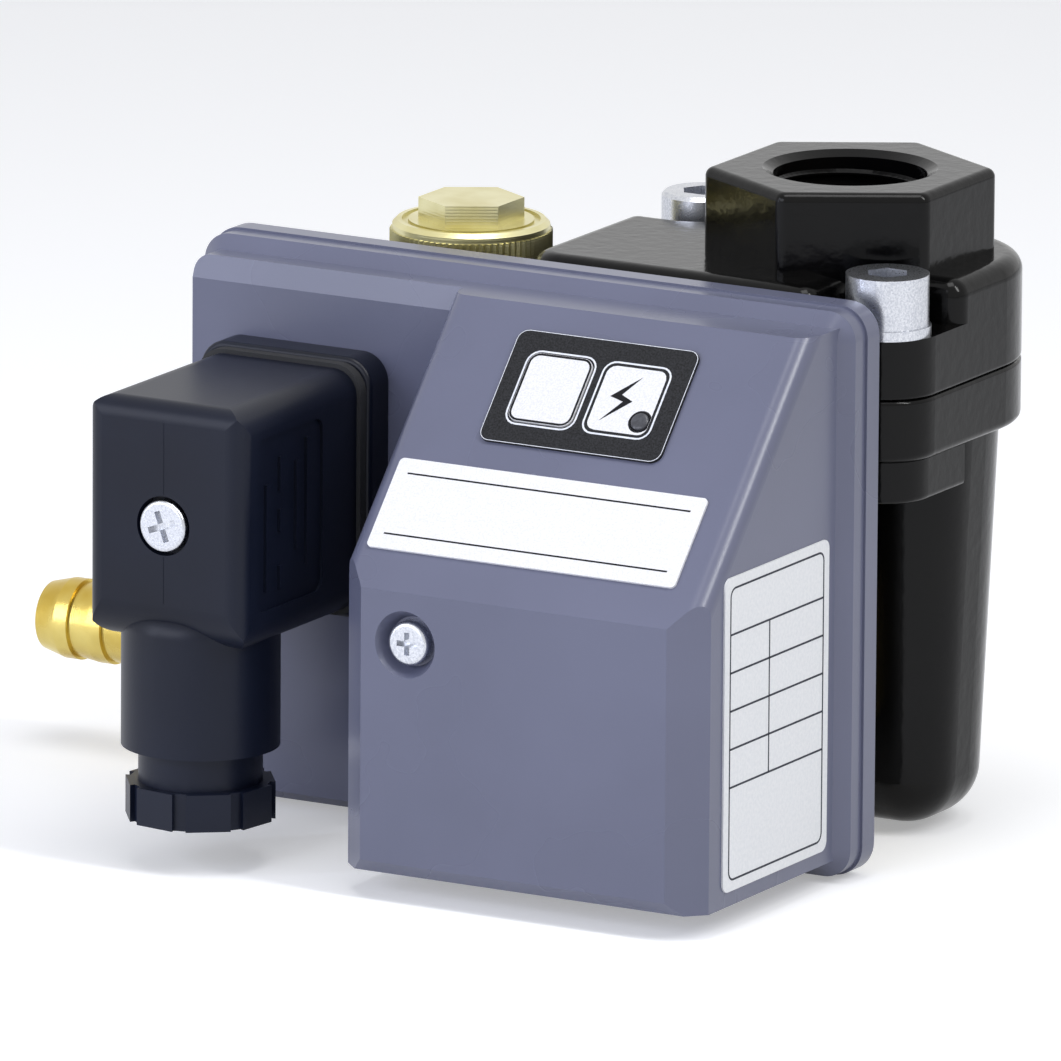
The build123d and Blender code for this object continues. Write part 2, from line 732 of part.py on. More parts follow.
with BuildPart() as cover_shell:
    add(rear_rim)
    add(front_rim.part)
    add(front_block.part)
    add(hood_block.part)
    # hollow inside: rim, front plate and hood
    with BuildSketch(front(cover_back)):
        with Locations((cover_x, cover_z)):
            RectangleRounded(cover_width - 2 * (tier_step + wall), cover_height - 2 * (tier_step + wall),
                             cover_corner - wall)
    extrude(amount=front_tier + rear_tier, mode=Mode.SUBTRACT)
    with BuildSketch(front(bevel_at)):
        with Locations(((front_left + front_right) / 2, (front_top + front_low) / 2)):
            RectangleRounded(front_right - front_left - 2 * wall, front_top - front_low - 2 * wall, 1.0)
    extrude(amount=front_plate - wall - bevel_at, mode=Mode.SUBTRACT)
    add(hood_form(wall), mode=Mode.SUBTRACT)
    # boss and countersink of the cover screw
    with BuildSketch(front(hood_front - boss_depth)):
        with Locations((hood_screw_x, hood_screw_z)):
            Circle(boss_radius)
    extrude(amount=boss_depth - 0.5)
    with BuildSketch(front(hood_front)):
        with Locations((hood_screw_x, hood_screw_z)):
            Circle(recess_radius)
    extrude(amount=-recess_depth, taper=degrees(atan2(recess_radius - recess_floor, recess_depth)),
            mode=Mode.SUBTRACT)
    with BuildSketch(front(hood_front)):
        with Locations((hood_screw_x, hood_screw_z)):
            Circle(m4_hole)
    extrude(amount=-boss_depth, mode=Mode.SUBTRACT)
    # key pocket, stem hole and light hole in the slope
    with BuildSketch(on_slope(0)):
        with Locations((key_x, membrane_up)):
            RectangleRounded(key_width + 2 * slip_gap, key_height + 2 * slip_gap, key_corner)
    extrude(amount=-key_thick, mode=Mode.SUBTRACT)
    with BuildSketch(on_slope(0)):
        with Locations((key_x, membrane_up)):
            Circle(stem_radius + turn_gap)
        with Locations((led_x, led_up)):
            Circle(led_radius + slip_gap)
    extrude(amount=-wall - 1, mode=Mode.SUBTRACT)
    # bosses that carry the circuit board
    with BuildSketch(on_slope(-board_drop)):
        with Locations(*[(x, membrane_up) for x in board_screw_x]):
            Circle(board_boss)
    extrude(amount=board_drop - wall + 0.5)
    with BuildSketch(on_slope(-board_drop)):
        with Locations(*[(x, membrane_up) for x in board_screw_x]):
            Circle(1.25)
    extrude(amount=board_drop - wall - 1, mode=Mode.SUBTRACT)
    # square opening for the connector's stem
    with BuildSketch(front(front_plate)):
        with Locations((plug_x, plug_z)):
            RectangleRounded(socket_stem + 2 * slip_gap, socket_stem + 2 * slip_gap, 2.0)
    extrude(amount=-wall - 0.5, mode=Mode.SUBTRACT)
finish(cover_shell.part, "cover_shell")

# ================================================================ cover screw and its spacer
cover_screw_place = (hood_screw_x, hood_screw_z)
spacer_front = hood_front - boss_depth
finish(pan_screws([cover_screw_place], hood_front - recess_depth, cover_screw_length), "cover_screw")

with BuildPart() as cover_spacer:
    with BuildSketch(front(cover_back)):
        with Locations(cover_screw_place):
            RegularPolygon(spacer_flats / 2, 6, major_radius=False)
    extrude(amount=spacer_front - cover_back)
    with BuildSketch(front(spacer_front)):
        with Locations(cover_screw_place):
            Circle(m4_hole)
    extrude(amount=-(cover_screw_length + seat_gap), mode=Mode.SUBTRACT)
    with BuildSketch(front(flange_front)):
        with Locations(cover_screw_place):
            Circle(m4_radius)
    extrude(amount=plate_thick)
finish(cover_spacer.part, "cover_spacer")

# ================================================================ circuit board, switch, key and light
with BuildPart() as circuit_board:
    with BuildSketch(on_slope(-board_drop)):
        with Locations((membrane_x, membrane_up)):
            RectangleRounded(board_width, board_length, 1.0)
        with Locations(*[(x, membrane_up) for x in board_screw_x]):
            Circle(board_hole, mode=Mode.SUBTRACT)
    extrude(amount=-board_thick)
finish(circuit_board.part, "circuit_board")

with BuildPart() as board_screws:
    with BuildSketch(on_slope(-board_drop - board_thick)):
        with Locations(*[(x, membrane_up) for x in board_screw_x]):
            Circle(board_screw_head)
    extrude(amount=-board_screw_head_height)
    with BuildSketch(on_slope(-board_drop - board_thick)):
        with Locations(*[(x, membrane_up) for x in board_screw_x]):
            Circle(board_screw_radius)
    extrude(amount=board_thick + board_drop - wall - 2)
finish(board_screws.part, "board_screws")

with BuildPart() as test_switch:
    with BuildSketch(on_slope(-board_drop)):
        with Locations((key_x, membrane_up)):
            Rectangle(switch_size, switch_size)
    extrude(amount=switch_height - 0.8)
    with BuildSketch(on_slope(-board_drop + switch_height - 0.8)):
        with Locations((key_x, membrane_up)):
            Circle(switch_size / 3)
    extrude(amount=0.8)
finish(test_switch.part, "test_switch")

key_bottom = key_travel + key_floor_gap - key_thick
with BuildPart() as test_button:
    with BuildSketch(on_slope(key_bottom)):
        with Locations((key_x, membrane_up)):
            RectangleRounded(key_width, key_height, key_corner)
    extrude(amount=membrane_thick + key_proud - key_bottom)
    with BuildSketch(on_slope(switch_height - board_drop + key_travel + weep)):
        with Locations((key_x, membrane_up)):
            Circle(stem_radius)
    extrude(amount=board_drop - switch_height - key_travel - weep + key_bottom + 0.1)
finish(test_button.part, "test_button")

with BuildPart() as status_led:
    with BuildSketch(on_slope(-board_drop)):
        with Locations((led_x, led_up)):
            Circle(led_radius)
    extrude(amount=board_drop + led_proud)
    fillet(status_led.faces().sort_by(Axis.Z)[-1].edges(), 0.4)
finish(status_led.part, "status_led")

with BuildPart() as membrane_panel:
    with BuildSketch(on_slope(0)):
        with Locations((membrane_x, membrane_up)):
            RectangleRounded(membrane_width, membrane_height, membrane_corner)
        with Locations((key_x, membrane_up)):
            RectangleRounded(key_width + 2 * slip_gap, key_height + 2 * slip_gap, key_corner, mode=Mode.SUBTRACT)
        with Locations((led_x, led_up)):
            Circle(led_radius + slip_gap, mode=Mode.SUBTRACT)
    extrude(amount=membrane_thick)
finish(membrane_panel.part, "membrane_panel")

with BuildPart() as badge_plate:
    with BuildSketch(on_slope(0)):
        with Locations((badge_x, badge_up)):
            RectangleRounded(badge_width, badge_height, badge_corner)
    extrude(amount=badge_thick)
finish(badge_plate.part, "badge_plate")

with BuildPart() as rating_label:
    with BuildSketch(Plane.YZ.offset(hood_right)):
        with Locations((label_depth / 2 - label_front, label_low + label_height / 2)):
            RectangleRounded(label_depth, label_height, label_corner)
    extrude(amount=label_thick)
finish(rating_label.part, "rating_label")

# ================================================================ valve block with its passages
arm_front = -flange_front
with BuildPart() as valve_block:
    with BuildSketch(Plane.XY.offset(tower_low)):
        with Locations((tower_x, tower_y)):
            Circle(tower_radius)
    extrude(amount=tower_top - tower_low)
    with BuildSketch(Plane.XY.offset(arm_low)):
        with Locations(((tower_x + arm_right) / 2, (arm_front + arm_back) / 2)):
            Rectangle(arm_right - tower_x, arm_back - arm_front)
    extrude(amount=arm_top - arm_low)
    with BuildSketch(Plane.YZ.offset(tower_x)):
        with Locations((barb_y, barb_z)):
            Circle(outlet_radius)
    extrude(amount=outlet_left - tower_x)
    chamfer(valve_block.faces().sort_by(Axis.Z)[-1].edges(), 0.6)
    # strainer bore and the inlet passage into its floor
    with BuildSketch(Plane.XY.offset(strainer_floor)):
        with Locations((tower_x, tower_y)):
            Circle(strainer_bore)
    extrude(amount=tower_top - strainer_floor, mode=Mode.SUBTRACT)
    with BuildSketch(Plane.XY.offset(port_z)):
        with Locations((tower_x, passage_y)):
            Circle(port_radius)
    extrude(amount=strainer_floor - port_z, mode=Mode.SUBTRACT)
    with BuildSketch(Plane.YZ.offset(tower_x)):
        with Locations((passage_y, port_z)):
            Circle(port_radius)
    extrude(amount=port_x - tower_x, mode=Mode.SUBTRACT)
    with BuildSketch(front(-arm_back)):
        with Locations((port_x, port_z)):
            Circle(port_radius)
    extrude(amount=arm_back - passage_y, mode=Mode.SUBTRACT)
    with BuildSketch(front(-arm_back)):
        with Locations((port_x, port_z)):
            Circle(port_seal_outer)
            Circle(port_seal_inner, mode=Mode.SUBTRACT)
    extrude(amount=port_seal_depth, mode=Mode.SUBTRACT)
    # valve chamber, seat pocket and the passage to it
    with BuildSketch(front(flange_front)):
        with Locations((coil_x, coil_z)):
            Circle(tube_thread)
    extrude(amount=-valve_bore_depth, mode=Mode.SUBTRACT)
    with BuildSketch(front(flange_front)):
        with Locations((coil_x, coil_z)):
            Circle(seat_radius)
    extrude(amount=-valve_bore_depth - seat_pocket_depth, mode=Mode.SUBTRACT)
    with BuildSketch(front(flange_front)):
        with Locations((coil_x, coil_z)):
            Circle(tube_collar)
            Circle(tube_thread + 0.4, mode=Mode.SUBTRACT)
    extrude(amount=-tube_seal_depth, mode=Mode.SUBTRACT)
    with BuildSketch(Plane.YZ.offset(tower_x)):
        with Locations((feed_y, feed_z)):
            Circle(feed_radius)
    extrude(amount=coil_x - tower_x, mode=Mode.SUBTRACT)
    # outlet passage and the thread for the hose barb
    with BuildSketch(Plane.YZ.offset(coil_x)):
        with Locations((passage_y, barb_z)):
            Circle(port_radius)
    extrude(amount=outlet_left - coil_x, mode=Mode.SUBTRACT)
    with BuildSketch(Plane.XY.offset(barb_z)):
        with Locations((coil_x, passage_y)):
            Circle(port_radius)
    extrude(amount=coil_z - barb_z, mode=Mode.SUBTRACT)
    with BuildSketch(Plane.YZ.offset(outlet_left)):
        with Locations((barb_y, barb_z)):
            Circle(barb_thread)
    extrude(amount=barb_thread_length + seat_gap, mode=Mode.SUBTRACT)
    # tapped holes for the block screws
    with BuildSketch(front(flange_front)):
        with Locations(*[(x, arm_z) for x in arm_screw_x]):
            Circle(m4_hole)
    extrude(amount=-m4_bite, mode=Mode.SUBTRACT)
finish(valve_block.part, "valve_block")
finish(pan_screws([(x, arm_z) for x in arm_screw_x], cover_back, plate_thick + m4_bite - 1), "block_screws")

with BuildPart() as port_seal:
    with BuildSketch(front(-arm_back)):
        with Locations((port_x, port_z)):
            Circle(port_seal_outer)
            Circle(port_seal_inner, mode=Mode.SUBTRACT)
    extrude(amount=port_seal_depth)
finish(port_seal.part, "port_seal")

# ================================================================ strainer under its knurled cap
cap_rim = tower_top + weep
spigot_low = cap_rim - cap_spigot
with BuildPart() as strainer:
    with BuildSketch(Plane.XY.offset(strainer_floor)):
        with Locations((tower_x, tower_y)):
            Circle(strainer_radius)
            Circle(strainer_radius - strainer_wall, mode=Mode.SUBTRACT)
    extrude(amount=spigot_low - seat_gap - strainer_floor)
    hole_pitch = (spigot_low - strainer_floor) / (strainer_rows + 1)
    for row in range(strainer_rows):
        for turn in (0, 60, 120):
            with Locations((tower_x, tower_y, strainer_floor + (row + 1) * hole_pitch)):
                Cylinder(strainer_hole, 3 * strainer_radius, rotation=(0, 90, turn + 30 * (row % 2)),
                         mode=Mode.SUBTRACT)
finish(strainer.part, "strainer")

with BuildPart() as knurled_cap:
    with BuildSketch(Plane.XY.offset(cap_rim)):
        with Locations((tower_x, tower_y)):
            Circle(cap_radius)
    extrude(amount=cap_top - cap_rim)
    chamfer(knurled_cap.edges(), 0.7)
    with BuildSketch(Plane.XY.offset(cap_top)):
        with Locations((tower_x, tower_y)):
            Circle(cap_groove_radius + 0.5)
            Circle(cap_groove_radius - 0.5, mode=Mode.SUBTRACT)
    extrude(amount=-0.5, mode=Mode.SUBTRACT)
    with BuildSketch(Plane.XY.offset(cap_top)):
        with Locations((tower_x, tower_y)):
            RegularPolygon(cap_hex_flats / 2, 6, major_radius=False, rotation=30)
    extrude(amount=cap_hex_height)
    with BuildSketch(Plane.XY.offset(spigot_low)):
        with Locations((tower_x, tower_y)):
            Circle(strainer_bore - turn_gap)
    extrude(amount=cap_spigot)
    with BuildSketch(Plane.XY.offset(spigot_low + cap_ring_up)):
        with Locations((tower_x, tower_y)):
            Circle(strainer_bore)
            Circle(strainer_bore - cap_ring_section, mode=Mode.SUBTRACT)
    extrude(amount=cap_ring_section, mode=Mode.SUBTRACT)
finish(knurled_cap.part, "knurled_cap")

with BuildPart() as cap_o_ring:
    with BuildSketch(Plane.XY.offset(spigot_low + cap_ring_up)):
        with Locations((tower_x, tower_y)):
            Circle(strainer_bore - turn_gap / 2)
            Circle(strainer_bore - cap_ring_section, mode=Mode.SUBTRACT)
    extrude(amount=cap_ring_section)
finish(cap_o_ring.part, "cap_o_ring")

# ================================================================ hose barb
barb_hex_right = outlet_left - seal_width
barb_hex_left = barb_hex_right - barb_hex_length
barb_first = barb_end + barb_count * barb_pitch
with BuildPart() as hose_barb:
    with BuildSketch(Plane.XY.offset(barb_z)):
        with BuildLine():
            outline = [(outlet_left + barb_thread_length, 0),
                       (outlet_left + barb_thread_length, barb_thread), (barb_hex_right - 2, barb_thread),
                       (barb_hex_right - 2, barb_root), (barb_first, barb_root)]
            for ridge in range(barb_count):
                crest = barb_first - ridge * barb_pitch
                outline += [(crest, barb_ridge), (crest - barb_land, barb_ridge),
                            (crest - barb_pitch, barb_root if ridge < barb_count - 1 else barb_nose)]
            outline.append((barb_end, 0))
            Polyline(*[(x, barb_y + radius) for x, radius in outline], close=True)
        make_face()
    revolve(axis=Axis((0, barb_y, barb_z), (1, 0, 0)))
    with BuildSketch(Plane.YZ.offset(barb_hex_left)):
        with Locations((barb_y, barb_z)):
            RegularPolygon(barb_hex_flats / 2, 6, major_radius=False, rotation=30)
    extrude(amount=barb_hex_length)
    with BuildSketch(Plane.YZ.offset(barb_end)):
        with Locations((barb_y, barb_z)):
            Circle(barb_bore)
    extrude(amount=outlet_left + barb_thread_length - barb_end, mode=Mode.SUBTRACT)
finish(hose_barb.part, "hose_barb")

with BuildPart() as barb_seal:
    with BuildSketch(Plane.YZ.offset(barb_hex_right)):
        with Locations((barb_y, barb_z)):
            Circle(barb_hex_flats / 2)
            Circle(barb_thread + slip_gap, mode=Mode.SUBTRACT)
    extrude(amount=seal_width)
finish(barb_seal.part, "barb_seal")

# ================================================================ solenoid valve
seat_back = flange_front - valve_bore_depth - seat_pocket_depth
seat_front = seat_back + seat_thick
collar_front = flange_front + tube_collar_length
tube_end = collar_front + tube_length
plunger_tip = seat_front + seal_proud + weep
plunger_end = plunger_tip + plunger_length
core_back = plunger_end + core_air
core_front = tube_end - tube_end_wall


def coil_disc(distance, depth, radius, hole=0):
    """Round solid on the coil's axis, reaching forward from a plane, bored if asked."""
    with BuildPart() as disc:
        with BuildSketch(front(distance)):
            with Locations((coil_x, coil_z)):
                Circle(radius)
                if hole:
                    Circle(hole, mode=Mode.SUBTRACT)
        extrude(amount=depth)
    return disc.part


finish(coil_disc(seat_back, seat_thick, seat_radius, orifice), "valve_seat")
finish(coil_disc(flange_front - tube_seal_depth, tube_seal_depth, tube_collar, tube_thread + 0.4), "tube_seal")

with BuildPart() as armature_tube:
    add(coil_disc(flange_front - tube_thread_length, tube_thread_length, tube_thread))
    add(coil_disc(flange_front, tube_collar_length, tube_collar))
    add(coil_disc(collar_front, tube_length, tube_radius))
    add(coil_disc(tube_end, stud_length, stud_radius))
    add(coil_disc(flange_front - tube_thread_length, core_front - flange_front + tube_thread_length, tube_bore),
        mode=Mode.SUBTRACT)
finish(armature_tube.part, "armature_tube")

finish(coil_disc(core_back, core_front - core_back, tube_bore - slip_gap / 2), "fixed_core")

with BuildPart() as plunger:
    add(coil_disc(plunger_tip, plunger_length, tube_bore - turn_gap))
    add(coil_disc(plunger_tip, seal_thick, seal_radius), mode=Mode.SUBTRACT)
    add(coil_disc(plunger_end - spring_pocket, spring_pocket, spring_radius + 0.6), mode=Mode.SUBTRACT)
finish(plunger.part, "plunger")
finish(coil_disc(plunger_tip - seal_proud, seal_thick + seal_proud, seal_radius), "plunger_seal")

spring_start = plunger_end - spring_pocket + spring_wire / 2
spring_run = core_back - spring_wire / 2 - spring_start
with BuildPart() as plunger_spring:
    with BuildLine():
        coil_path = Helix(spring_run / spring_turns, spring_run, spring_radius,
                          center=(coil_x, -spring_start, coil_z), direction=(0, -1, 0))
    with BuildSketch(Plane(origin=coil_path @ 0, z_dir=coil_path % 0)):
        Circle(spring_wire / 2)
    sweep(is_frenet=True)
finish(plunger_spring.part, "plunger_spring")

yoke_back = collar_front + weep
coil_back = yoke_back + yoke_thick
with BuildPart() as solenoid_coil:
    with BuildSketch(front(coil_back)):
        with Locations((coil_x, coil_z)):
            RectangleRounded(coil_width, coil_height, 3.0)
            Circle(tube_radius + seat_gap, mode=Mode.SUBTRACT)
    extrude(amount=coil_length)
finish(solenoid_coil.part, "solenoid_coil")

with BuildPart() as coil_yoke:
    with BuildSketch(Plane.YZ.offset(coil_x - yoke_width / 2)):
        with Locations((-(coil_back + coil_length / 2), coil_z)):
            Rectangle(coil_length + 2 * yoke_thick, coil_height + 2 * yoke_thick + 2 * seat_gap)
            Rectangle(coil_length, coil_height + 2 * seat_gap, mode=Mode.SUBTRACT)
    extrude(amount=yoke_width)
    with BuildSketch(front(yoke_back)):
        with Locations((coil_x, coil_z)):
            Circle(tube_radius + seat_gap)
    extrude(amount=coil_length + 2 * yoke_thick, mode=Mode.SUBTRACT)
finish(coil_yoke.part, "coil_yoke")

with BuildPart() as coil_nut:
    with BuildSketch(front(coil_back + coil_length + yoke_thick)):
        with Locations((coil_x, coil_z)):
            RegularPolygon(coil_nut_flats / 2, 6, major_radius=False)
            Circle(stud_radius + slip_gap / 2, mode=Mode.SUBTRACT)
    extrude(amount=coil_nut_height)
finish(coil_nut.part, "coil_nut")

with BuildPart() as level_sensor:
    with BuildSketch(Plane.XY.offset(sensor_low)):
        with Locations((float_x, -flange_front + sensor_depth / 2)):
            RectangleRounded(sensor_width, sensor_depth, 1.0)
    extrude(amount=sensor_height)
finish(level_sensor.part, "level_sensor")

# ================================================================ plug socket, pins and gasket
plug_place = (plug_x, plug_z)
socket_front = front_plate + socket_depth
plug_back = socket_front + profile_gasket
pin_places = [(plug_x - pin_spread, plug_z), (plug_x + pin_spread, plug_z), (plug_x, plug_z + pin_spread),
              (plug_x, plug_z - pin_spread)]


def pin_blades(distance, depth, grow):
    """The four flat contacts, or their slots when grown."""
    with BuildPart() as blades:
        with BuildSketch(front(distance)):
            with Locations(*pin_places[:2]):
                Rectangle(pin_thick + grow, pin_width + grow)
            with Locations(*pin_places[2:]):
                Rectangle(pin_width + grow, pin_thick + grow)
        extrude(amount=depth)
    return blades.part


with BuildPart() as socket_base:
    with BuildSketch(front(front_plate)):
        with Locations(plug_place):
            RectangleRounded(socket_width, socket_height, socket_corner)
    extrude(amount=socket_depth)
    fillet(socket_base.faces().sort_by(Axis.Y)[0].edges(), 0.8)
    with BuildSketch(front(front_plate)):
        with Locations(plug_place):
            RectangleRounded(socket_stem, socket_stem, 2.0)
    extrude(amount=-socket_stem_depth)
    with BuildSketch(front(socket_front)):
        with Locations(plug_place):
            Circle(plug_screw_radius + turn_gap)
    extrude(amount=-socket_screw_bite, mode=Mode.SUBTRACT)
finish(socket_base.part, "socket_base")
finish(pin_blades(socket_front, pin_length, 0), "socket_pins")

with BuildPart() as plug_gasket:
    with BuildSketch(front(socket_front)):
        with Locations(plug_place):
            RectangleRounded(plug_width + 1.4, plug_height + 1.4, socket_corner)
            RectangleRounded(insert_width, insert_height, 1.0, mode=Mode.SUBTRACT)
    extrude(amount=profile_gasket)
finish(plug_gasket.part, "plug_gasket")

# ================================================================ plug housing with its cable gland
plug_low = plug_z - plug_height / 2
gland_floor = shank_top + seat_gap + ring_height + seal_ring_height + seat_gap
plug_depth = plug_front - plug_back
plug_middle = -(plug_front + plug_back) / 2
with BuildPart() as plug_body:
    with BuildSketch(front(plug_back)):
        with Locations(plug_place):
            RectangleRounded(plug_width, plug_height, plug_corner)
    extrude(amount=plug_depth)
    # side view: small rounding over the front face, a large one under it
    with BuildSketch(Plane.YZ.offset(plug_x - plug_width / 2)) as side_view:
        with Locations((plug_middle, plug_z)):
            Rectangle(plug_depth, plug_height)
        fillet(side_view.vertices().group_by(Axis.X)[0].sort_by(Axis.Y)[-1], plug_face_round)
        fillet(side_view.vertices().group_by(Axis.X)[0].sort_by(Axis.Y)[0], plug_brow_cut)
    extrude(amount=plug_width, mode=Mode.INTERSECT)
    with BuildSketch(Plane.XY.offset(plug_low)) as top_view:
        with Locations((plug_x, plug_middle)):
            Rectangle(plug_width, plug_depth)
        fillet(top_view.vertices().group_by(Axis.Y)[0], plug_face_round)
    extrude(amount=plug_height, mode=Mode.INTERSECT)

with BuildPart() as plug_gland:
    with BuildSketch(Plane.XY.offset(gland_low)):
        with Locations((plug_x, gland_y)):
            Circle(gland_radius)
    extrude(amount=plug_low - gland_low + gland_shoulder)
    fillet(plug_gland.faces().sort_by(Axis.Z)[-1].edges(), gland_round)

with BuildPart() as plug_housing:
    add(plug_body.part)
    add(plug_gland.part)
    # ribbed panels let into both sides
    for side in (-1, 1):
        with BuildSketch(Plane.YZ.offset(plug_x + side * plug_width / 2)):
            with Locations((-panel_front + panel_width / 2, panel_low + panel_height / 2)):
                RectangleRounded(panel_width, panel_height, 2.0)
            for bar_x, bar_z, bar_length in panel_bars:
                with Locations((-panel_front + bar_x, panel_low + bar_z)):
                    Rectangle(panel_rib, bar_length, mode=Mode.SUBTRACT)
        extrude(amount=-side * panel_depth, mode=Mode.SUBTRACT)
    # hollow from behind, with a boss for the centre screw
    with BuildSketch(front(plug_back)):
        with Locations(plug_place):
            RectangleRounded(plug_width - 2 * plug_wall, plug_height - 2 * plug_wall, plug_corner - plug_wall)
            Circle(plug_boss, mode=Mode.SUBTRACT)
    extrude(amount=plug_front - plug_brow_cut - plug_wall - plug_back, mode=Mode.SUBTRACT)
    with BuildSketch(front(plug_back)):
        with Locations(plug_place):
            Circle(plug_boss)
    extrude(amount=insert_depth + seat_gap, mode=Mode.SUBTRACT)
    with BuildSketch(front(plug_front)):
        with Locations(plug_place):
            Circle(plug_screw_recess)
    extrude(amount=-plug_screw_sink, mode=Mode.SUBTRACT)
    with BuildSketch(front(plug_front)):
        with Locations(plug_place):
            Circle(plug_screw_radius + seat_gap)
    extrude(amount=plug_back - plug_front, mode=Mode.SUBTRACT)
    # gland bore
    with BuildSketch(Plane.XY.offset(gland_low)):
        with Locations((plug_x, gland_y)):
            Circle(shank_radius + turn_gap)
    extrude(amount=gland_floor - gland_low, mode=Mode.SUBTRACT)
    with BuildSketch(Plane.XY.offset(gland_floor)):
        with Locations((plug_x, gland_y)):
            Circle(cable_radius + 1)
    extrude(amount=plug_low + plug_wall - gland_floor + 1, mode=Mode.SUBTRACT)
finish(plug_housing.part, "plug_housing")

with BuildPart() as plug_insert:
    with BuildSketch(front(plug_back - profile_gasket)):
        with Locations(plug_place):
            RectangleRounded(insert_width - 2 * slip_gap, insert_height - 2 * slip_gap, 1.0)
            Circle(plug_screw_radius + seat_gap, mode=Mode.SUBTRACT)
    extrude(amount=insert_depth)
    add(pin_blades(socket_front, pin_length + seat_gap, 2 * slip_gap), mode=Mode.SUBTRACT)
    with BuildSketch(front(socket_front + insert_depth)):
        with Locations(*pin_places):
            Rectangle(terminal_size, terminal_size)
    extrude(amount=-terminal_depth, mode=Mode.SUBTRACT)
finish(plug_insert.part, "plug_insert")

with BuildPart() as plug_contacts:
    with BuildSketch(front(socket_front + insert_depth)):
        with Locations(*pin_places):
            Rectangle(terminal_size - 2 * slip_gap, terminal_size - 2 * slip_gap)
            Circle(terminal_hole, mode=Mode.SUBTRACT)
    extrude(amount=-terminal_depth)
finish(plug_contacts.part, "plug_contacts")

with BuildPart() as plug_screw:
    with BuildSketch(front(plug_front - plug_screw_sink + weep)):
        with Locations(plug_place):
            Circle(plug_screw_head)
    extrude(amount=plug_screw_height)
    fillet(plug_screw.faces().sort_by(Axis.Y)[0].edges(), 0.6)
    with BuildSketch(front(plug_front - plug_screw_sink + weep + plug_screw_height)):
        with Locations(plug_place):
            Rectangle(plug_cross, plug_screw_slot, rotation=plug_slot_turn)
            Rectangle(plug_screw_slot, plug_cross, rotation=plug_slot_turn)
    extrude(amount=-plug_slot_depth, mode=Mode.SUBTRACT)
    with BuildSketch(front(plug_front - plug_screw_sink + weep)):
        with Locations(plug_place):
            Circle(plug_screw_radius)
    extrude(amount=socket_front - socket_screw_bite + seat_gap - plug_front + plug_screw_sink)
finish(plug_screw.part, "plug_screw")


def gland_disc(low, height, radius, hole, name):
    """Bored round piece on the cable gland's axis."""
    with BuildPart() as disc:
        with BuildSketch(Plane.XY.offset(low)):
            with Locations((plug_x, gland_y)):
                Circle(radius)
                Circle(hole, mode=Mode.SUBTRACT)
        extrude(amount=height)
    finish(disc.part, name)


gland_disc(shank_top + seat_gap, ring_height, shank_radius - seat_gap, cable_radius, "gland_ring")
gland_disc(shank_top + seat_gap + ring_height, seal_ring_height, shank_radius - seat_gap, cable_radius, "gland_seal")

with BuildPart() as gland_nut:
    with BuildSketch(Plane.XY.offset(nut_low)):
        with Locations((plug_x, gland_y)):
            RegularPolygon(nut_radius, nut_lobes, rotation=nut_turn)
            with PolarLocations(nut_radius, nut_lobes, start_angle=nut_turn):
                Rectangle(2 * nut_notch, nut_notch_width, mode=Mode.SUBTRACT)
    extrude(amount=nut_top - nut_low)
    with BuildSketch(Plane.XY.offset(nut_top)):
        with Locations((plug_x, gland_y)):
            Circle(shank_radius)
    extrude(amount=shank_top - nut_top)
    with BuildSketch(Plane.XY.offset(nut_low)):
        with Locations((plug_x, gland_y)):
            Circle(cable_radius)
    extrude(amount=shank_top - nut_low, mode=Mode.SUBTRACT)
finish(gland_nut.part, "gland_nut")
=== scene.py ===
import math
import bmesh
import bpy
from mathutils import Matrix, Vector


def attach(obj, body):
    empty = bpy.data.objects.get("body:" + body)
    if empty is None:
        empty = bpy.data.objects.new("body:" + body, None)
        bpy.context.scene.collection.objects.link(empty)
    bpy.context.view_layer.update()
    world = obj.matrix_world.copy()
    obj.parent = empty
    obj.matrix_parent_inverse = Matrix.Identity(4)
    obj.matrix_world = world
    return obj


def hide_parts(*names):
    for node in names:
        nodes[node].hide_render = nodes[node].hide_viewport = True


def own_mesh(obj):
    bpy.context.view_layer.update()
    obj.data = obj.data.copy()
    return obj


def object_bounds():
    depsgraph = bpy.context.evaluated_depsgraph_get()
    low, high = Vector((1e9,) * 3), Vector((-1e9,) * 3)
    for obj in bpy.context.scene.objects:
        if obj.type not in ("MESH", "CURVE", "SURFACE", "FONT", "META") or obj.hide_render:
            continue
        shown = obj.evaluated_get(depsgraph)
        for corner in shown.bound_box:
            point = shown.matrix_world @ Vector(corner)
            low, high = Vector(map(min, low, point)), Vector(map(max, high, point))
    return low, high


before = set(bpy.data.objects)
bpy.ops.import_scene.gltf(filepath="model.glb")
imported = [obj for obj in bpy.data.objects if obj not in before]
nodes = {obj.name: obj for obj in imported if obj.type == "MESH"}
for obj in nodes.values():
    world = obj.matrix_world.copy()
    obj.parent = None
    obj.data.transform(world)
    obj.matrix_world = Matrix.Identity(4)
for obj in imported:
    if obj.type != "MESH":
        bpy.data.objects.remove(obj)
cadBox = [list(corner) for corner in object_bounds()]
mm = 0.001
print("frame loaded:", len(nodes), "nodes")


# ---- shaders: one helper adds a node, sets it and links it
def srgb(hexText):
    parts = [int(hexText[i:i + 2], 16) / 255 for i in (1, 3, 5)]
    return [p / 12.92 if p <= 0.04045 else ((p + 0.055) / 1.055) ** 2.4 for p in parts] + [1.0]


def addNode(tree, kind, settings=None, links=None):
    node = tree.nodes.new(kind)
    for key, value in (settings or {}).items():
        if isinstance(key, int) or key in node.inputs:
            node.inputs[key].default_value = value
        else:
            setattr(node, key, value)
    for key, source in (links or {}).items():
        tree.links.new(source, node.inputs[key])
    return node


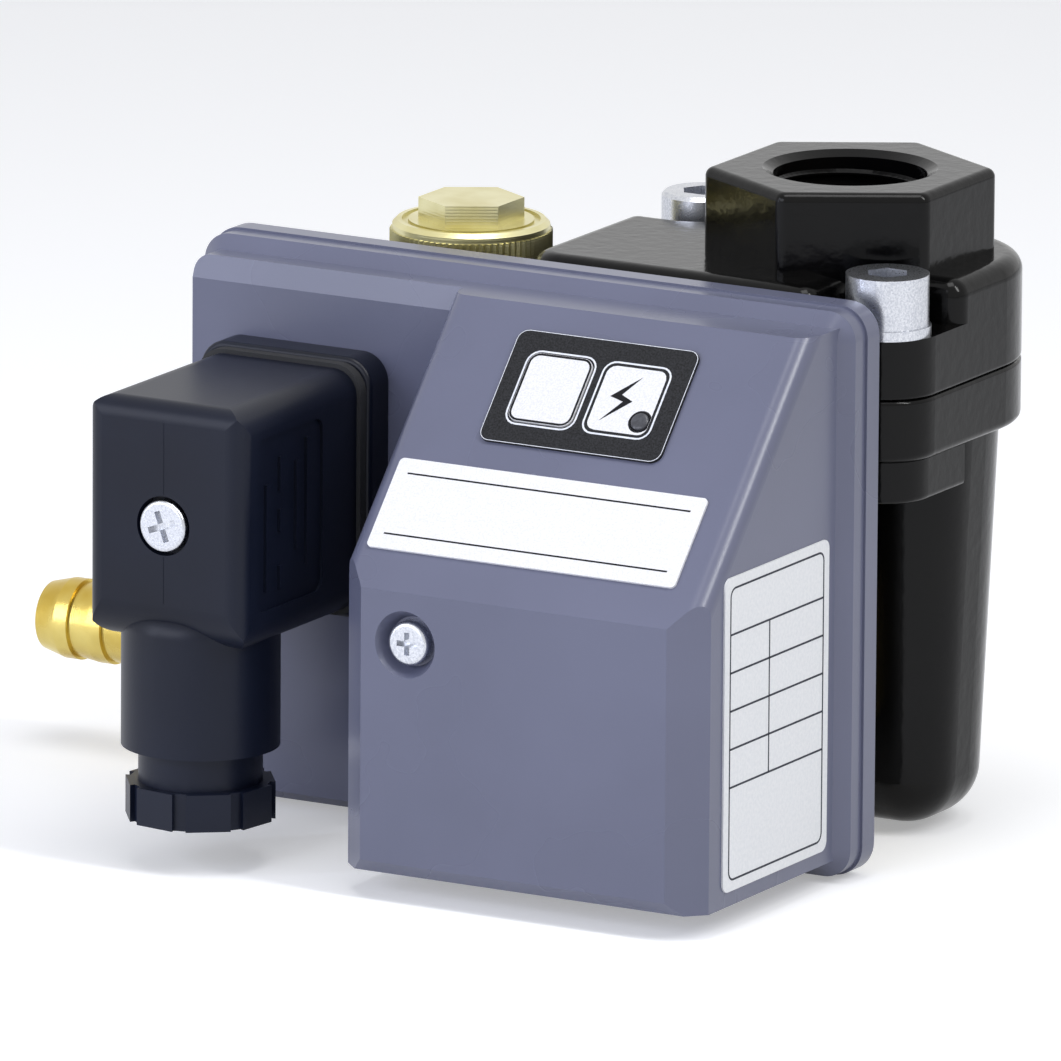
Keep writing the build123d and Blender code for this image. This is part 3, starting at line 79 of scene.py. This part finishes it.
def newMaterial(name, settings):
    material = bpy.data.materials.new(name)
    material.use_nodes = True
    tree = material.node_tree
    tree.nodes.clear()
    out = addNode(tree, "ShaderNodeOutputMaterial")
    shader = addNode(tree, "ShaderNodeBsdfPrincipled", settings)
    tree.links.new(shader.outputs["BSDF"], out.inputs["Surface"])
    place = addNode(tree, "ShaderNodeTexCoord").outputs["Object"]
    return material, tree, shader, place


# two colours, each from its own place on the source's scale
def ramp(tree, source, stops):
    node = addNode(tree, "ShaderNodeValToRGB", {}, {"Fac": source})
    for element, (position, hexText) in zip(node.color_ramp.elements, stops):
        element.position = position
        element.color = srgb(hexText)
    return node.outputs["Color"]


# grain of a surface: noise of a real size in mm, as a height for the bump
def grain(tree, place, sizeMm, detail=2.0, rough=0.5):
    return addNode(tree, "ShaderNodeTexNoise", {"Scale": 1000 / sizeMm, "Detail": detail, "Roughness": rough},
                   {"Vector": place}).outputs["Fac"]


def bump(tree, shader, height, depthMm, strength):
    node = addNode(tree, "ShaderNodeBump", {"Distance": depthMm * mm, "Strength": strength},
                   {"Height": height})
    tree.links.new(node.outputs["Normal"], shader.inputs["Normal"])


def mixValue(tree, fac, low, high):
    node = addNode(tree, "ShaderNodeMapRange", {"To Min": low, "To Max": high}, {"Value": fac})
    return node.outputs["Result"]


# 1 where the ray comes from the camera or from something glossy or clear, else 0
def paleRays(tree):
    path = addNode(tree, "ShaderNodeLightPath").outputs
    seen = addNode(tree, "ShaderNodeMath", {"operation": "MAXIMUM"},
                   {0: path["Is Glossy Ray"], 1: path["Is Transmission Ray"]})
    return addNode(tree, "ShaderNodeMath", {"operation": "MAXIMUM"},
                   {0: path["Is Camera Ray"], 1: seen.outputs[0]}).outputs[0]


# Moulded plastic with a fine spark-eroded grain: a satin sheen that breaks up softly, over a faint cloud
def mouldedPlastic(name, dark, light, roughness=0.42, grainMm=0.45, depthMm=0.012, shine=0.45, cloudMm=38):
    material, tree, shader, place = newMaterial(name, {"IOR": 1.53, "Specular IOR Level": shine})
    cloud = grain(tree, place, cloudMm, 3.0)
    tree.links.new(ramp(tree, cloud, [(0.3, dark), (0.7, light)]), shader.inputs["Base Color"])
    fine = grain(tree, place, grainMm, 1.0)
    tree.links.new(mixValue(tree, cloud, roughness - 0.05, roughness + 0.06), shader.inputs["Roughness"])
    bump(tree, shader, fine, depthMm, 0.6)
    return material


# Cast aluminium under gloss black paint: deep black with a sharp but weak shine that waves with the cast skin;
# the warm brown of its lighter tone is a painted reflection of brownish surroundings
def glossPaint(name, cloudMm=22, peelMm=2.2):
    material, tree, shader, place = newMaterial(name, {"IOR": 1.5, "Specular IOR Level": 0.17})
    cloud = grain(tree, place, cloudMm, 3.0)
    # the warm brown light end of this ramp is painted reflection, not the paint's own colour
    tree.links.new(ramp(tree, cloud, [(0.3, "#030304"), (0.7, "#0a0908")]), shader.inputs["Base Color"])
    tree.links.new(mixValue(tree, cloud, 0.1, 0.2), shader.inputs["Roughness"])
    peel = grain(tree, place, peelMm, 2.5)
    bump(tree, shader, peel, 0.09, 0.6)
    return material


# Zinc plate on steel: bright grey metal, slightly milky; its crystals are drawn coarser than real, to show
def zincPlate(name, light="#d6d8dd", dark="#b9bcc4", roughness=0.26, speckMm=0.35):
    material, tree, shader, place = newMaterial(name, {"Metallic": 1.0})
    speck = grain(tree, place, speckMm, 3.0, 0.7)
    tree.links.new(ramp(tree, speck, [(0.38, dark), (0.6, light)]), shader.inputs["Base Color"])
    tree.links.new(mixValue(tree, speck, roughness + 0.1, roughness - 0.05), shader.inputs["Roughness"])
    bump(tree, shader, speck, 0.012, 0.5)
    return material


# Turned brass: warm yellow metal with tool rings along the turning axis, drawn coarser than real, to show
def turnedBrass(name, axis, light="#dcc877", dark="#c2a54a", pitchMm=0.35, roughness=0.26, cloudMm=9):
    material, tree, shader, place = newMaterial(name, {"Metallic": 1.0})
    parts = addNode(tree, "ShaderNodeSeparateXYZ", {}, {"Vector": place})
    wave = addNode(tree, "ShaderNodeMath", {"operation": "MULTIPLY", 1: math.tau / (pitchMm * mm)},
                   {0: parts.outputs[axis]})
    rings = addNode(tree, "ShaderNodeMath", {"operation": "SINE"}, {0: wave.outputs[0]})
    cloud = grain(tree, place, cloudMm, 3.0)
    tree.links.new(ramp(tree, cloud, [(0.3, dark), (0.65, light)]), shader.inputs["Base Color"])
    tree.links.new(mixValue(tree, cloud, roughness + 0.08, roughness - 0.06), shader.inputs["Roughness"])
    bump(tree, shader, rings.outputs[0], 0.012, 0.35)
    return material


# Moulded nitrile rubber: soft matt black with a slight crumb
def blackRubber(name, crumbMm=1.2):
    material, tree, shader, place = newMaterial(name, {"IOR": 1.5})
    crumb = grain(tree, place, crumbMm, 2.0)
    tree.links.new(ramp(tree, crumb, [(0.3, "#16171a"), (0.7, "#1f2024")]), shader.inputs["Base Color"])
    tree.links.new(mixValue(tree, crumb, 0.6, 0.8), shader.inputs["Roughness"])
    bump(tree, shader, crumb, 0.02, 0.4)
    return material


# Film, vinyl, ink and lacquer: flat colour with faint mottling and a satin skin
def printedFilm(name, dark, light, speckMm=0.4, roughness=0.38, shine=0.45):
    material, tree, shader, place = newMaterial(name, {"IOR": 1.49, "Specular IOR Level": shine})
    speck = grain(tree, place, speckMm, 2.0, 0.6)
    tree.links.new(ramp(tree, speck, [(0.35, dark), (0.65, light)]), shader.inputs["Base Color"])
    tree.links.new(mixValue(tree, speck, roughness, roughness + 0.08), shader.inputs["Roughness"])
    bump(tree, shader, speck, 0.004, 0.3)
    return material


coverAbs = mouldedPlastic("MouldedAbsBlueGrey", "#606378", "#676a80", 0.28, 0.4, 0.014)   # satin, the housing
# black nylon; the blue in both its colours is a painted sheen of bluish light
plugNylonPaintedBlueSheen = mouldedPlastic("MouldedPolyamideBlack", "#080c19", "#111728", 0.38, 0.5, 0.016, 0.22)
castPaintWithPaintedReflection = glossPaint("GlossPaintOnCastAluminium")
zincSteel = zincPlate("ZincPlatedSteel")
plateSteel = zincPlate("ZincPlatedSheet", "#b6b8ba", "#aaacae", 0.34, 0.9)   # duller than the screws
barbBrass = turnedBrass("TurnedBrassBarb", "X")
capBrass = turnedBrass("TurnedBrassCap", "Z", "#e2dcae", "#cfc68c", 0.5, 0.3)
blockBrass = turnedBrass("MilledBrassBlock", "Z", "#cdb874", "#bda55c", 0.8, 0.34)
rubber = blackRubber("BlackNitrileRubber")
filmDark = printedFilm("PrintedFilmCharcoal", "#131315", "#2b2c2f", 0.28, 0.5, 0.18)
filmSilver = printedFilm("PrintedFilmSilver", "#d8d8db", "#ebebed", 0.28, 0.4)
badgeSilver = printedFilm("PrintedVinylSilver", "#dfdfe1", "#ededee", 0.3, 0.4)
labelWhite = printedFilm("PrintedPolyesterWhite", "#e3e5e8", "#ebecee", 0.6, 0.4)
inkBlack = printedFilm("ScreenInkBlack", "#101013", "#18181c", 0.6, 0.5, 0.15)
inkWhite = printedFilm("ScreenInkWhite", "#d6d9e2", "#e6e8ee", 0.6, 0.45)
inkGrey = printedFilm("ScreenInkGrey", "#2b2e38", "#363944", 0.6, 0.5, 0.2)
coilResin = mouldedPlastic("CastEpoxyBlack", "#131316", "#1b1b1f", 0.3, 0.9, 0.01)   # poured resin, satin
boardLacquer = printedFilm("SolderMaskGreen", "#0f3d22", "#155030", 0.8, 0.3)   # green lacquer over copper
floatPlastic = mouldedPlastic("MouldedPolypropyleneNatural", "#cfccc0", "#dedbd0", 0.45)
magnetFerrite = mouldedPlastic("SinteredFerrite", "#2a2a2c", "#37373a", 0.55, 0.7, 0.03)   # dull and gritty
springSteel = zincPlate("DrawnSpringSteel", "#d2d3d4", "#a5a6a8", 0.22, 0.3)   # bright wire
lensGrey = printedFilm("MouldedAcrylicSmoke", "#3a3b40", "#4a4b51", 0.9, 0.16)   # glossy smoked lens

finishOf = {
    castPaintWithPaintedReflection: ["head_casting", "bowl_casting"],
    coverAbs: ["cover_shell"],
    plugNylonPaintedBlueSheen: ["plug_housing", "socket_base", "plug_insert", "gland_nut"],
    zincSteel: ["head_screws", "head_washers", "plate_screws", "block_screws", "cover_screw", "cover_spacer",
                "board_screws", "plug_screw", "coil_nut", "guide_rod", "gland_ring", "strainer",
                "fixed_core", "plunger", "armature_tube"],
    plateSteel: ["base_plate", "coil_yoke"],
    blockBrass: ["valve_block", "valve_seat", "socket_pins", "plug_contacts"],
    capBrass: ["knurled_cap"],
    barbBrass: ["hose_barb"],
    rubber: ["bowl_gasket", "cover_gasket", "port_seal", "tube_seal", "barb_seal", "cap_o_ring",
             "plunger_seal", "gland_seal", "plug_gasket"],
    springSteel: ["plunger_spring"],
    coilResin: ["solenoid_coil", "level_sensor", "test_switch"],
    boardLacquer: ["circuit_board"],
    lensGrey: ["status_led"],
    filmSilver: ["test_button"],
    filmDark: ["membrane_panel"],
    badgeSilver: ["badge_plate"],
    labelWhite: ["rating_label"],
    floatPlastic: ["level_float"],
    magnetFerrite: ["float_magnet"],
}
for material, names in finishOf.items():
    for name in names:
        nodes[name].data.materials.clear()
        nodes[name].data.materials.append(material)
print("materials on CAD nodes")


# ---- the planes that carry prints: origin in mm, then across, up and out
def plane(origin, across, up, out):
    return Vector(origin) * mm, Vector(across).normalized(), Vector(up).normalized(), Vector(out).normalized()


slope = plane((0, -83.7, -55.0), (1, 0, 0), (0, 35.5, 39.0), (0, -39.0, 35.5))   # from the slope's foot
inkMm = 0.03   # thickness of every print


def newPiece(name, mesh, material, body):
    piece = bpy.data.objects.new(name, mesh)
    bpy.context.scene.collection.objects.link(piece)
    mesh.materials.clear()
    mesh.materials.append(material)
    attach(piece, body)
    return piece


# a flat print: outlines in mm on the plane, from liftMm to liftMm + thickMm above it
def addPrint(name, polygons, onPlane, liftMm, thickMm, material, body):
    origin, across, up, out = onPlane
    mesh = bpy.data.meshes.new(name)
    form = bmesh.new()
    for polygon in polygons:
        low, high = [], []
        for u, v in polygon:
            base = origin + across * u * mm + up * v * mm
            low.append(form.verts.new(base + out * liftMm * mm))
            high.append(form.verts.new(base + out * (liftMm + thickMm) * mm))
        count = len(polygon)
        form.faces.new(high)
        form.faces.new(low[::-1])
        for i in range(count):
            j = (i + 1) % count
            form.faces.new((low[i], low[j], high[j], high[i]))
    bmesh.ops.recalc_face_normals(form, faces=form.faces)
    form.to_mesh(mesh)
    form.free()
    return newPiece(name, mesh, material, body)


def roundedPoints(cu, cv, width, height, radius, steps=5):
    points = []
    for su, sv, start in ((1, 1, 0), (-1, 1, 90), (-1, -1, 180), (1, -1, 270)):
        for i in range(steps + 1):
            angle = math.radians(start + 90 * i / steps)
            points.append((cu + su * (width / 2 - radius) + radius * math.cos(angle),
                           cv + sv * (height / 2 - radius) + radius * math.sin(angle)))
    return points


# a strip of quads between two outlines with the same number of points
def between(outer, inner):
    count = len(outer)
    return [[outer[i], outer[(i + 1) % count], inner[(i + 1) % count], inner[i]] for i in range(count)]


# a line of one width round a rounded rectangle, measured to its outside
def ringPolygons(cu, cv, width, height, radius, line):
    return between(roundedPoints(cu, cv, width, height, radius),
                   roundedPoints(cu, cv, width - 2 * line, height - 2 * line, max(radius - line, 0.05)))


def barPolygon(u0, v0, u1, v1):
    return [(u0, v0), (u1, v0), (u1, v1), (u0, v1)]


# ---- membrane prints: key frames, light window and a plain bolt mark
# (sizes in mm, rings and window as width, height, corner)
membrane = {"x": -13.45, "up": 37.9, "thick": 0.5, "edgeRing": (31.9, 20.0, 1.8), "edgeLine": 0.1,
            "keyX": -20.2, "keyRing": (12.4, 13.4, 2.3), "windowX": -6.8, "windowRing": (12.1, 13.1, 2.1),
            "frameLine": 0.3, "window": (10.5, 11.5, 1.5)}
whiteLines = []
for x, ring, line in (("x", "edgeRing", "edgeLine"), ("windowX", "windowRing", "frameLine"),
                      ("keyX", "keyRing", "frameLine")):
    whiteLines += ringPolygons(membrane[x], membrane["up"], *membrane[ring], membrane[line])
addPrint("membraneFrames", whiteLines, slope, membrane["thick"], inkMm, inkWhite, "unit")

# the key's dark edge rides on the key itself
keyEdge = {"ring": (11.1, 12.1, 1.8), "line": 0.36}
slopeFoot, slopeOut = slope[0], slope[3]
keySolid = nodes["test_button"]
keyTop = max((keySolid.matrix_world @ v.co - slopeFoot).dot(slopeOut) for v in keySolid.data.vertices) / mm
print("key face stands", round(keyTop, 3), "mm off the slope")
addPrint("keyEdge", ringPolygons(membrane["keyX"], membrane["up"], *keyEdge["ring"], keyEdge["line"]),
         slope, keyTop, inkMm, inkBlack, "test_key")

# the light's window with its dark rim round the lens; the rim reaches a little under the lens
ledLens = {"x": -3.2, "up": 34.5, "radius": 1.7, "rim": 0.26, "under": 0.1, "edgeGap": 0.02, "points": 120,
           "farthest": 20.0, "halvings": 30}


# how far the window's rounded edge lies from the lens, along one angle, found by halving
def windowReach(angle):
    near, far = 0.0, ledLens["farthest"]
    width, height, corner = membrane["window"]
    for _ in range(ledLens["halvings"]):
        middle = (near + far) / 2
        u = abs(ledLens["x"] + middle * math.cos(angle) - membrane["windowX"]) - width / 2 + corner
        v = abs(ledLens["up"] + middle * math.sin(angle) - membrane["up"]) - height / 2 + corner
        outside = math.hypot(max(u, 0), max(v, 0)) + min(max(u, v), 0) - corner
        near, far = (middle, far) if outside < 0 else (near, middle)
    return near


# a loop of points round the lens, each as far out as reachOf says for its angle
def lensLoop(reachOf):
    loop = []
    for i in range(ledLens["points"]):
        angle = math.tau * i / ledLens["points"]
        reach = reachOf(angle)
        loop.append((ledLens["x"] + reach * math.cos(angle), ledLens["up"] + reach * math.sin(angle)))
    return loop


def rimReach(angle):
    return min(ledLens["radius"] + ledLens["rim"], windowReach(angle) - ledLens["edgeGap"])


rimOuter = lensLoop(rimReach)
rimInner = lensLoop(lambda angle: ledLens["radius"] - ledLens["under"])
addPrint("membraneWindow", between(lensLoop(windowReach), rimOuter), slope, membrane["thick"], inkMm,
         filmSilver, "unit")
addPrint("lensRing", between(rimOuter, rimInner), slope, membrane["thick"], inkMm,
         inkBlack, "unit")

# a plain zigzag bolt, in two halves that share its middle
bolt = {"x": -7.2, "corners": [(1.66, 4.3), (-2.65, 0.37), (-0.18, -0.31), (-3.0, -4.1), (1.42, -0.09),
                               (-0.76, 0.86)], "halves": [(0, 1, 2, 5), (2, 3, 4, 5)]}
boltPoints = [(bolt["x"] + u, membrane["up"] + v) for u, v in bolt["corners"]]
addPrint("membraneMark", [[boltPoints[i] for i in half] for half in bolt["halves"]], slope,
         membrane["thick"] + inkMm, inkMm, inkBlack, "unit")

# ---- badge print: two fine lines on the bare plate
badge = {"x": -13.9, "up": 15.0, "thick": 0.4, "line": 0.28, "halfLength": 24.95, "apart": 10.8}
badgeInk = []
for side in (-1, 1):
    v = badge["up"] + side * badge["apart"] / 2
    badgeInk.append(barPolygon(badge["x"] - badge["halfLength"], v - badge["line"] / 2,
                               badge["x"] + badge["halfLength"], v + badge["line"] / 2))
addPrint("badgeLines", badgeInk, slope, badge["thick"], inkMm, inkBlack, "unit")

# ---- plug: the fine mould seam down the middle of its front face, left out round the screw
seam = {"x": -72.3, "front": -87.7, "top": -32.2, "foot": -61.0, "width": 0.14, "proud": 0.06, "sink": 0.02,
        "screwZ": -48.6, "screwGap": 5.0}
plugFront = plane((seam["x"], seam["front"], 0), (1, 0, 0), (0, 0, 1), (0, -1, 0))
seamRuns = [(seam["foot"], seam["screwZ"] - seam["screwGap"]),
            (seam["screwZ"] + seam["screwGap"], seam["top"])]
addPrint("plugSeam", [barPolygon(-seam["width"] / 2, low, seam["width"] / 2, high) for low, high in seamRuns],
         plugFront, -seam["sink"], seam["proud"] + seam["sink"], plugNylonPaintedBlueSheen, "unit")

# ---- rating label: an empty ruled table; rows and split as shares of its height and width
label = {"x": 19.5, "front": -74.8, "low": -98.0, "depth": 33.0, "height": 49.5, "thick": 0.3, "margin": 1.6,
         "line": 0.32, "rows": [0.16, 0.29, 0.42, 0.55, 0.68], "split": 0.42, "corner": 1.6}
labelPlane = plane((label["x"], label["front"], label["low"]), (0, 1, 0), (0, 0, 1), (1, 0, 0))
wide, tall = label["depth"] - 2 * label["margin"], label["height"] - 2 * label["margin"]
labelInk = ringPolygons(label["depth"] / 2, label["height"] / 2, wide, tall, label["corner"], label["line"])
left, right = label["margin"], label["depth"] - label["margin"]
top = label["height"] - label["margin"]
for share in label["rows"]:
    v = top - share * tall
    labelInk.append(barPolygon(left, v - label["line"] / 2, right, v + label["line"] / 2))
splitAt = left + label["split"] * (right - left)
labelInk.append(barPolygon(splitAt - label["line"] / 2, top - label["rows"][-1] * tall,
                           splitAt + label["line"] / 2, top - label["rows"][0] * tall))
addPrint("labelTable", labelInk, labelPlane, label["thick"], inkMm, inkGrey, "unit")
print("prints made")


# ---- cap knurl: pointed ribs round a circle
def ribTree(name):
    tree = bpy.data.node_groups.new(name, "GeometryNodeTree")
    tree.interface.new_socket("Geometry", in_out="OUTPUT", socket_type="NodeSocketGeometry")
    for inputName, kind, value in (("Count", "NodeSocketInt", 48), ("Radius", "NodeSocketFloat", 0.0065),
                                   ("Depth", "NodeSocketFloat", 0.0003), ("Width", "NodeSocketFloat", 0.0006),
                                   ("Height", "NodeSocketFloat", 0.006),
                                   ("Rib Material", "NodeSocketMaterial", None)):
        socket = tree.interface.new_socket(inputName, in_out="INPUT", socket_type=kind)
        if value is not None:
            socket.default_value = value
    given = addNode(tree, "NodeGroupInput").outputs
    ring = addNode(tree, "GeometryNodeMeshCircle", {},
                   {"Vertices": given["Count"], "Radius": given["Radius"]})
    size = addNode(tree, "ShaderNodeCombineXYZ", {},
                   {"X": given["Depth"], "Y": given["Width"], "Z": given["Height"]})
    rib = addNode(tree, "GeometryNodeMeshCube", {}, {"Size": size.outputs["Vector"]})
    # an edge of each bar points outwards, so the ribs are pointed
    turned = addNode(tree, "GeometryNodeTransform", {"Rotation": (0, 0, math.radians(45))},
                     {"Geometry": rib.outputs["Mesh"]})
    spot = addNode(tree, "GeometryNodeInputPosition")
    aim = addNode(tree, "FunctionNodeAlignRotationToVector", {"axis": "X"},
                  {"Vector": spot.outputs["Position"]})
    copies = addNode(tree, "GeometryNodeInstanceOnPoints", {},
                     {"Points": ring.outputs["Mesh"], "Instance": turned.outputs["Geometry"],
                      "Rotation": aim.outputs["Rotation"]})
    real = addNode(tree, "GeometryNodeRealizeInstances", {}, {"Geometry": copies.outputs["Instances"]})
    painted = addNode(tree, "GeometryNodeSetMaterial", {},
                      {"Geometry": real.outputs["Geometry"], "Material": given["Rib Material"]})
    addNode(tree, "NodeGroupOutput", {}, {"Geometry": painted.outputs["Geometry"]})
    return tree


# what a tree makes from its values, as a plain mesh at its place
def treeMesh(name, tree, values, place):
    holder = bpy.data.objects.new(name + "Source", bpy.data.meshes.new(name + "Source"))
    bpy.context.scene.collection.objects.link(holder)
    modifier = holder.modifiers.new("make", "NODES")
    modifier.node_group = tree
    for item in tree.interface.items_tree:
        if item.in_out == "INPUT" and item.name in values:
            modifier[item.identifier] = values[item.name]
    bpy.context.view_layer.update()
    made = bpy.data.meshes.new_from_object(holder.evaluated_get(bpy.context.evaluated_depsgraph_get()))
    bpy.data.objects.remove(holder)
    made.name = name
    made.transform(Matrix.Translation(place))
    return made


knurl = {"x": -59.9, "y": -14.0, "radius": 12.38, "low": -24.9, "high": -13.9, "ribs": 76, "depth": 0.62}
knurlMesh = treeMesh("capKnurl", ribTree("RimRibs"),
                     {"Count": knurl["ribs"], "Radius": knurl["radius"] * mm, "Depth": knurl["depth"] * mm,
                      "Width": knurl["depth"] * mm, "Height": (knurl["high"] - knurl["low"]) * mm,
                      "Rib Material": capBrass},
                     Vector((knurl["x"], knurl["y"], (knurl["low"] + knurl["high"]) / 2)) * mm)
newPiece("capKnurl", knurlMesh, capBrass, "cap")
print("knurl made")

# ---- valve spring: a copy of the solid with its doubled points merged, shown in place of the hidden solid
spring = {"x": -8.0, "fixedY": -48.1, "z": -77.0, "length": 11.0, "stroke": 2.4, "mergeMm": 0.0001}
springMesh = nodes["plunger_spring"].data.copy()
springMesh.name = "valveSpring"
form = bmesh.new()
form.from_mesh(springMesh)
bmesh.ops.remove_doubles(form, verts=form.verts, dist=spring["mergeMm"] * mm)
form.to_mesh(springMesh)
form.free()
valveSpring = newPiece("valveSpring", springMesh, springSteel, "unit")
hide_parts("plunger_spring")
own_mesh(valveSpring)
print("spring made")


# ---- inlet thread: a helical ridge on the bore's wall; root and crest are half widths in pitches
inletThread = {"radius": 12.06, "ridge": 0.75, "pitch": 1.814, "low": -18.6, "high": -2.6, "root": 0.42,
               "crest": 0.08, "inWall": 0.25, "fadeTurns": 0.4, "steps": 64}


def helixThread(name, thread):
    mesh = bpy.data.meshes.new(name)
    form = bmesh.new()
    rows = []
    pitch, steps, wall = thread["pitch"], thread["steps"], thread["inWall"]
    root, crest, fadeSteps = thread["root"] * pitch, thread["crest"] * pitch, steps * thread["fadeTurns"]
    total = int((thread["high"] - thread["low"]) / pitch * steps)
    for i in range(total + 1):
        angle = math.tau * i / steps
        z = thread["low"] + pitch * i / steps
        inwards = -thread["ridge"] * min(1, i / fadeSteps, (total - i) / fadeSteps)   # fades out at both ends
        row = []
        for dr, dz in ((wall, -root), (inwards, -crest), (inwards, crest), (wall, root)):
            r = thread["radius"] + dr
            row.append(form.verts.new(Vector((r * math.cos(angle), r * math.sin(angle), z + dz)) * mm))
        rows.append(row)
    for a, b in zip(rows, rows[1:]):
        for k in range(4):
            j = (k + 1) % 4
            form.faces.new((a[k], a[j], b[j], b[k]))
    form.faces.new(rows[0][::-1])
    form.faces.new(rows[-1])
    bmesh.ops.recalc_face_normals(form, faces=form.faces)
    form.to_mesh(mesh)
    form.free()
    return mesh


newPiece("inletThread", helixThread("inletThread", inletThread), castPaintWithPaintedReflection, "unit")
print("thread made")

# ---- floor, world, lamps and camera
studio = {"half": 4.0, "floorZ": cadBox[0][2] - 0.0005, "floor": "#e9eaec", "floorGlow": 0.34,
          "world": "#eff0f4", "worldLight": 0.34}


# pale floor that the camera and the gloss see a little brighter than the lamps make it
def floorMaterial():
    material, tree, shader, _ = newMaterial("PaleFloor", {"Base Color": srgb(studio["floor"]),
                                                          "Emission Color": srgb("#ffffff"), "Roughness": 0.9})
    glow = addNode(tree, "ShaderNodeMath", {"operation": "MULTIPLY", 1: studio["floorGlow"]},
                   {0: paleRays(tree)})
    tree.links.new(glow.outputs[0], shader.inputs["Emission Strength"])
    return material


floorMesh = bpy.data.meshes.new("studioFloor")
h, z = studio["half"], studio["floorZ"]
floorMesh.from_pydata([(-h, -h, z), (h, -h, z), (h, h, z), (-h, h, z)], [], [(0, 1, 2, 3)])
floorMesh.materials.append(floorMaterial())
studioFloor = bpy.data.objects.new("studioFloor", floorMesh)
bpy.context.scene.collection.objects.link(studioFloor)

# the world lights the piece softly, and is white where it is seen
world = bpy.data.worlds.new("studioWorld")
bpy.context.scene.world = world
world.use_nodes = True
tree = world.node_tree
tree.nodes.clear()
soft = addNode(tree, "ShaderNodeBackground",
               {"Color": srgb(studio["world"]), "Strength": studio["worldLight"]})
clear = addNode(tree, "ShaderNodeBackground", {"Color": srgb("#ffffff"), "Strength": 1.0})
mix = addNode(tree, "ShaderNodeMixShader", {}, {0: paleRays(tree), 1: soft.outputs["Background"],
                                                2: clear.outputs["Background"]})
addNode(tree, "ShaderNodeOutputWorld", {}, {"Surface": mix.outputs["Shader"]})


# lamps: place in metres, width, height, power in watts, tint; all aim at the middle of the piece
lampAim = (-0.05, -0.03, -0.055)
lamps = {"stripRight": ((0.64, -0.14, 0.66), 0.12, 0.6, 4.2, "#ffffff"),
         "softboxFront": ((-0.3, -1.0, 0.3), 0.7, 0.6, 4.4, "#edf1ff"),
         "softboxTop": ((0.05, -0.14, 0.85), 0.45, 0.45, 3.0, "#ffffff"),
         "stripLeft": ((-0.62, -0.62, 0.1), 0.05, 0.8, 2.0, "#e3eaff")}


def areaLamp(name, place, width, height, power, tint):
    lamp = bpy.data.lights.new(name, "AREA")
    lamp.shape = "RECTANGLE"
    lamp.size, lamp.size_y, lamp.energy = width, height, power
    lamp.color = srgb(tint)[:3]
    holder = bpy.data.objects.new(name, lamp)
    bpy.context.scene.collection.objects.link(holder)
    holder.location = place
    holder.rotation_euler = (Vector(lampAim) - Vector(place)).to_track_quat("-Z", "Y").to_euler()


for name, settings in lamps.items():
    areaLamp(name, *settings)

# camera: place in mm and its three directions, lens in mm on a 36 mm sensor
view = {"place": (1463.09, -2687.92, 661.91), "right": (0.86968095, 0.49356863, 0.00671197),
        "up": (-0.11879506, 0.19608338, 0.9733648), "forward": (-0.47910623, 0.84731418, -0.2291635),
        "lens": 682.0, "sensor": 36.0, "clip": (0.1, 20.0)}
cameraData = bpy.data.cameras.new("studioCamera")
cameraData.lens, cameraData.sensor_width = view["lens"], view["sensor"]
cameraData.clip_start, cameraData.clip_end = view["clip"]
camera = bpy.data.objects.new("studioCamera", cameraData)
bpy.context.scene.collection.objects.link(camera)
turn = Matrix((Vector(view["right"]), Vector(view["up"]), -Vector(view["forward"]))).transposed()
camera.matrix_world = Matrix.Translation(Vector(view["place"]) * mm) @ turn.to_4x4()
bpy.context.scene.camera = camera
bpy.context.scene.view_settings.view_transform = "Standard"
print("stage and camera set")
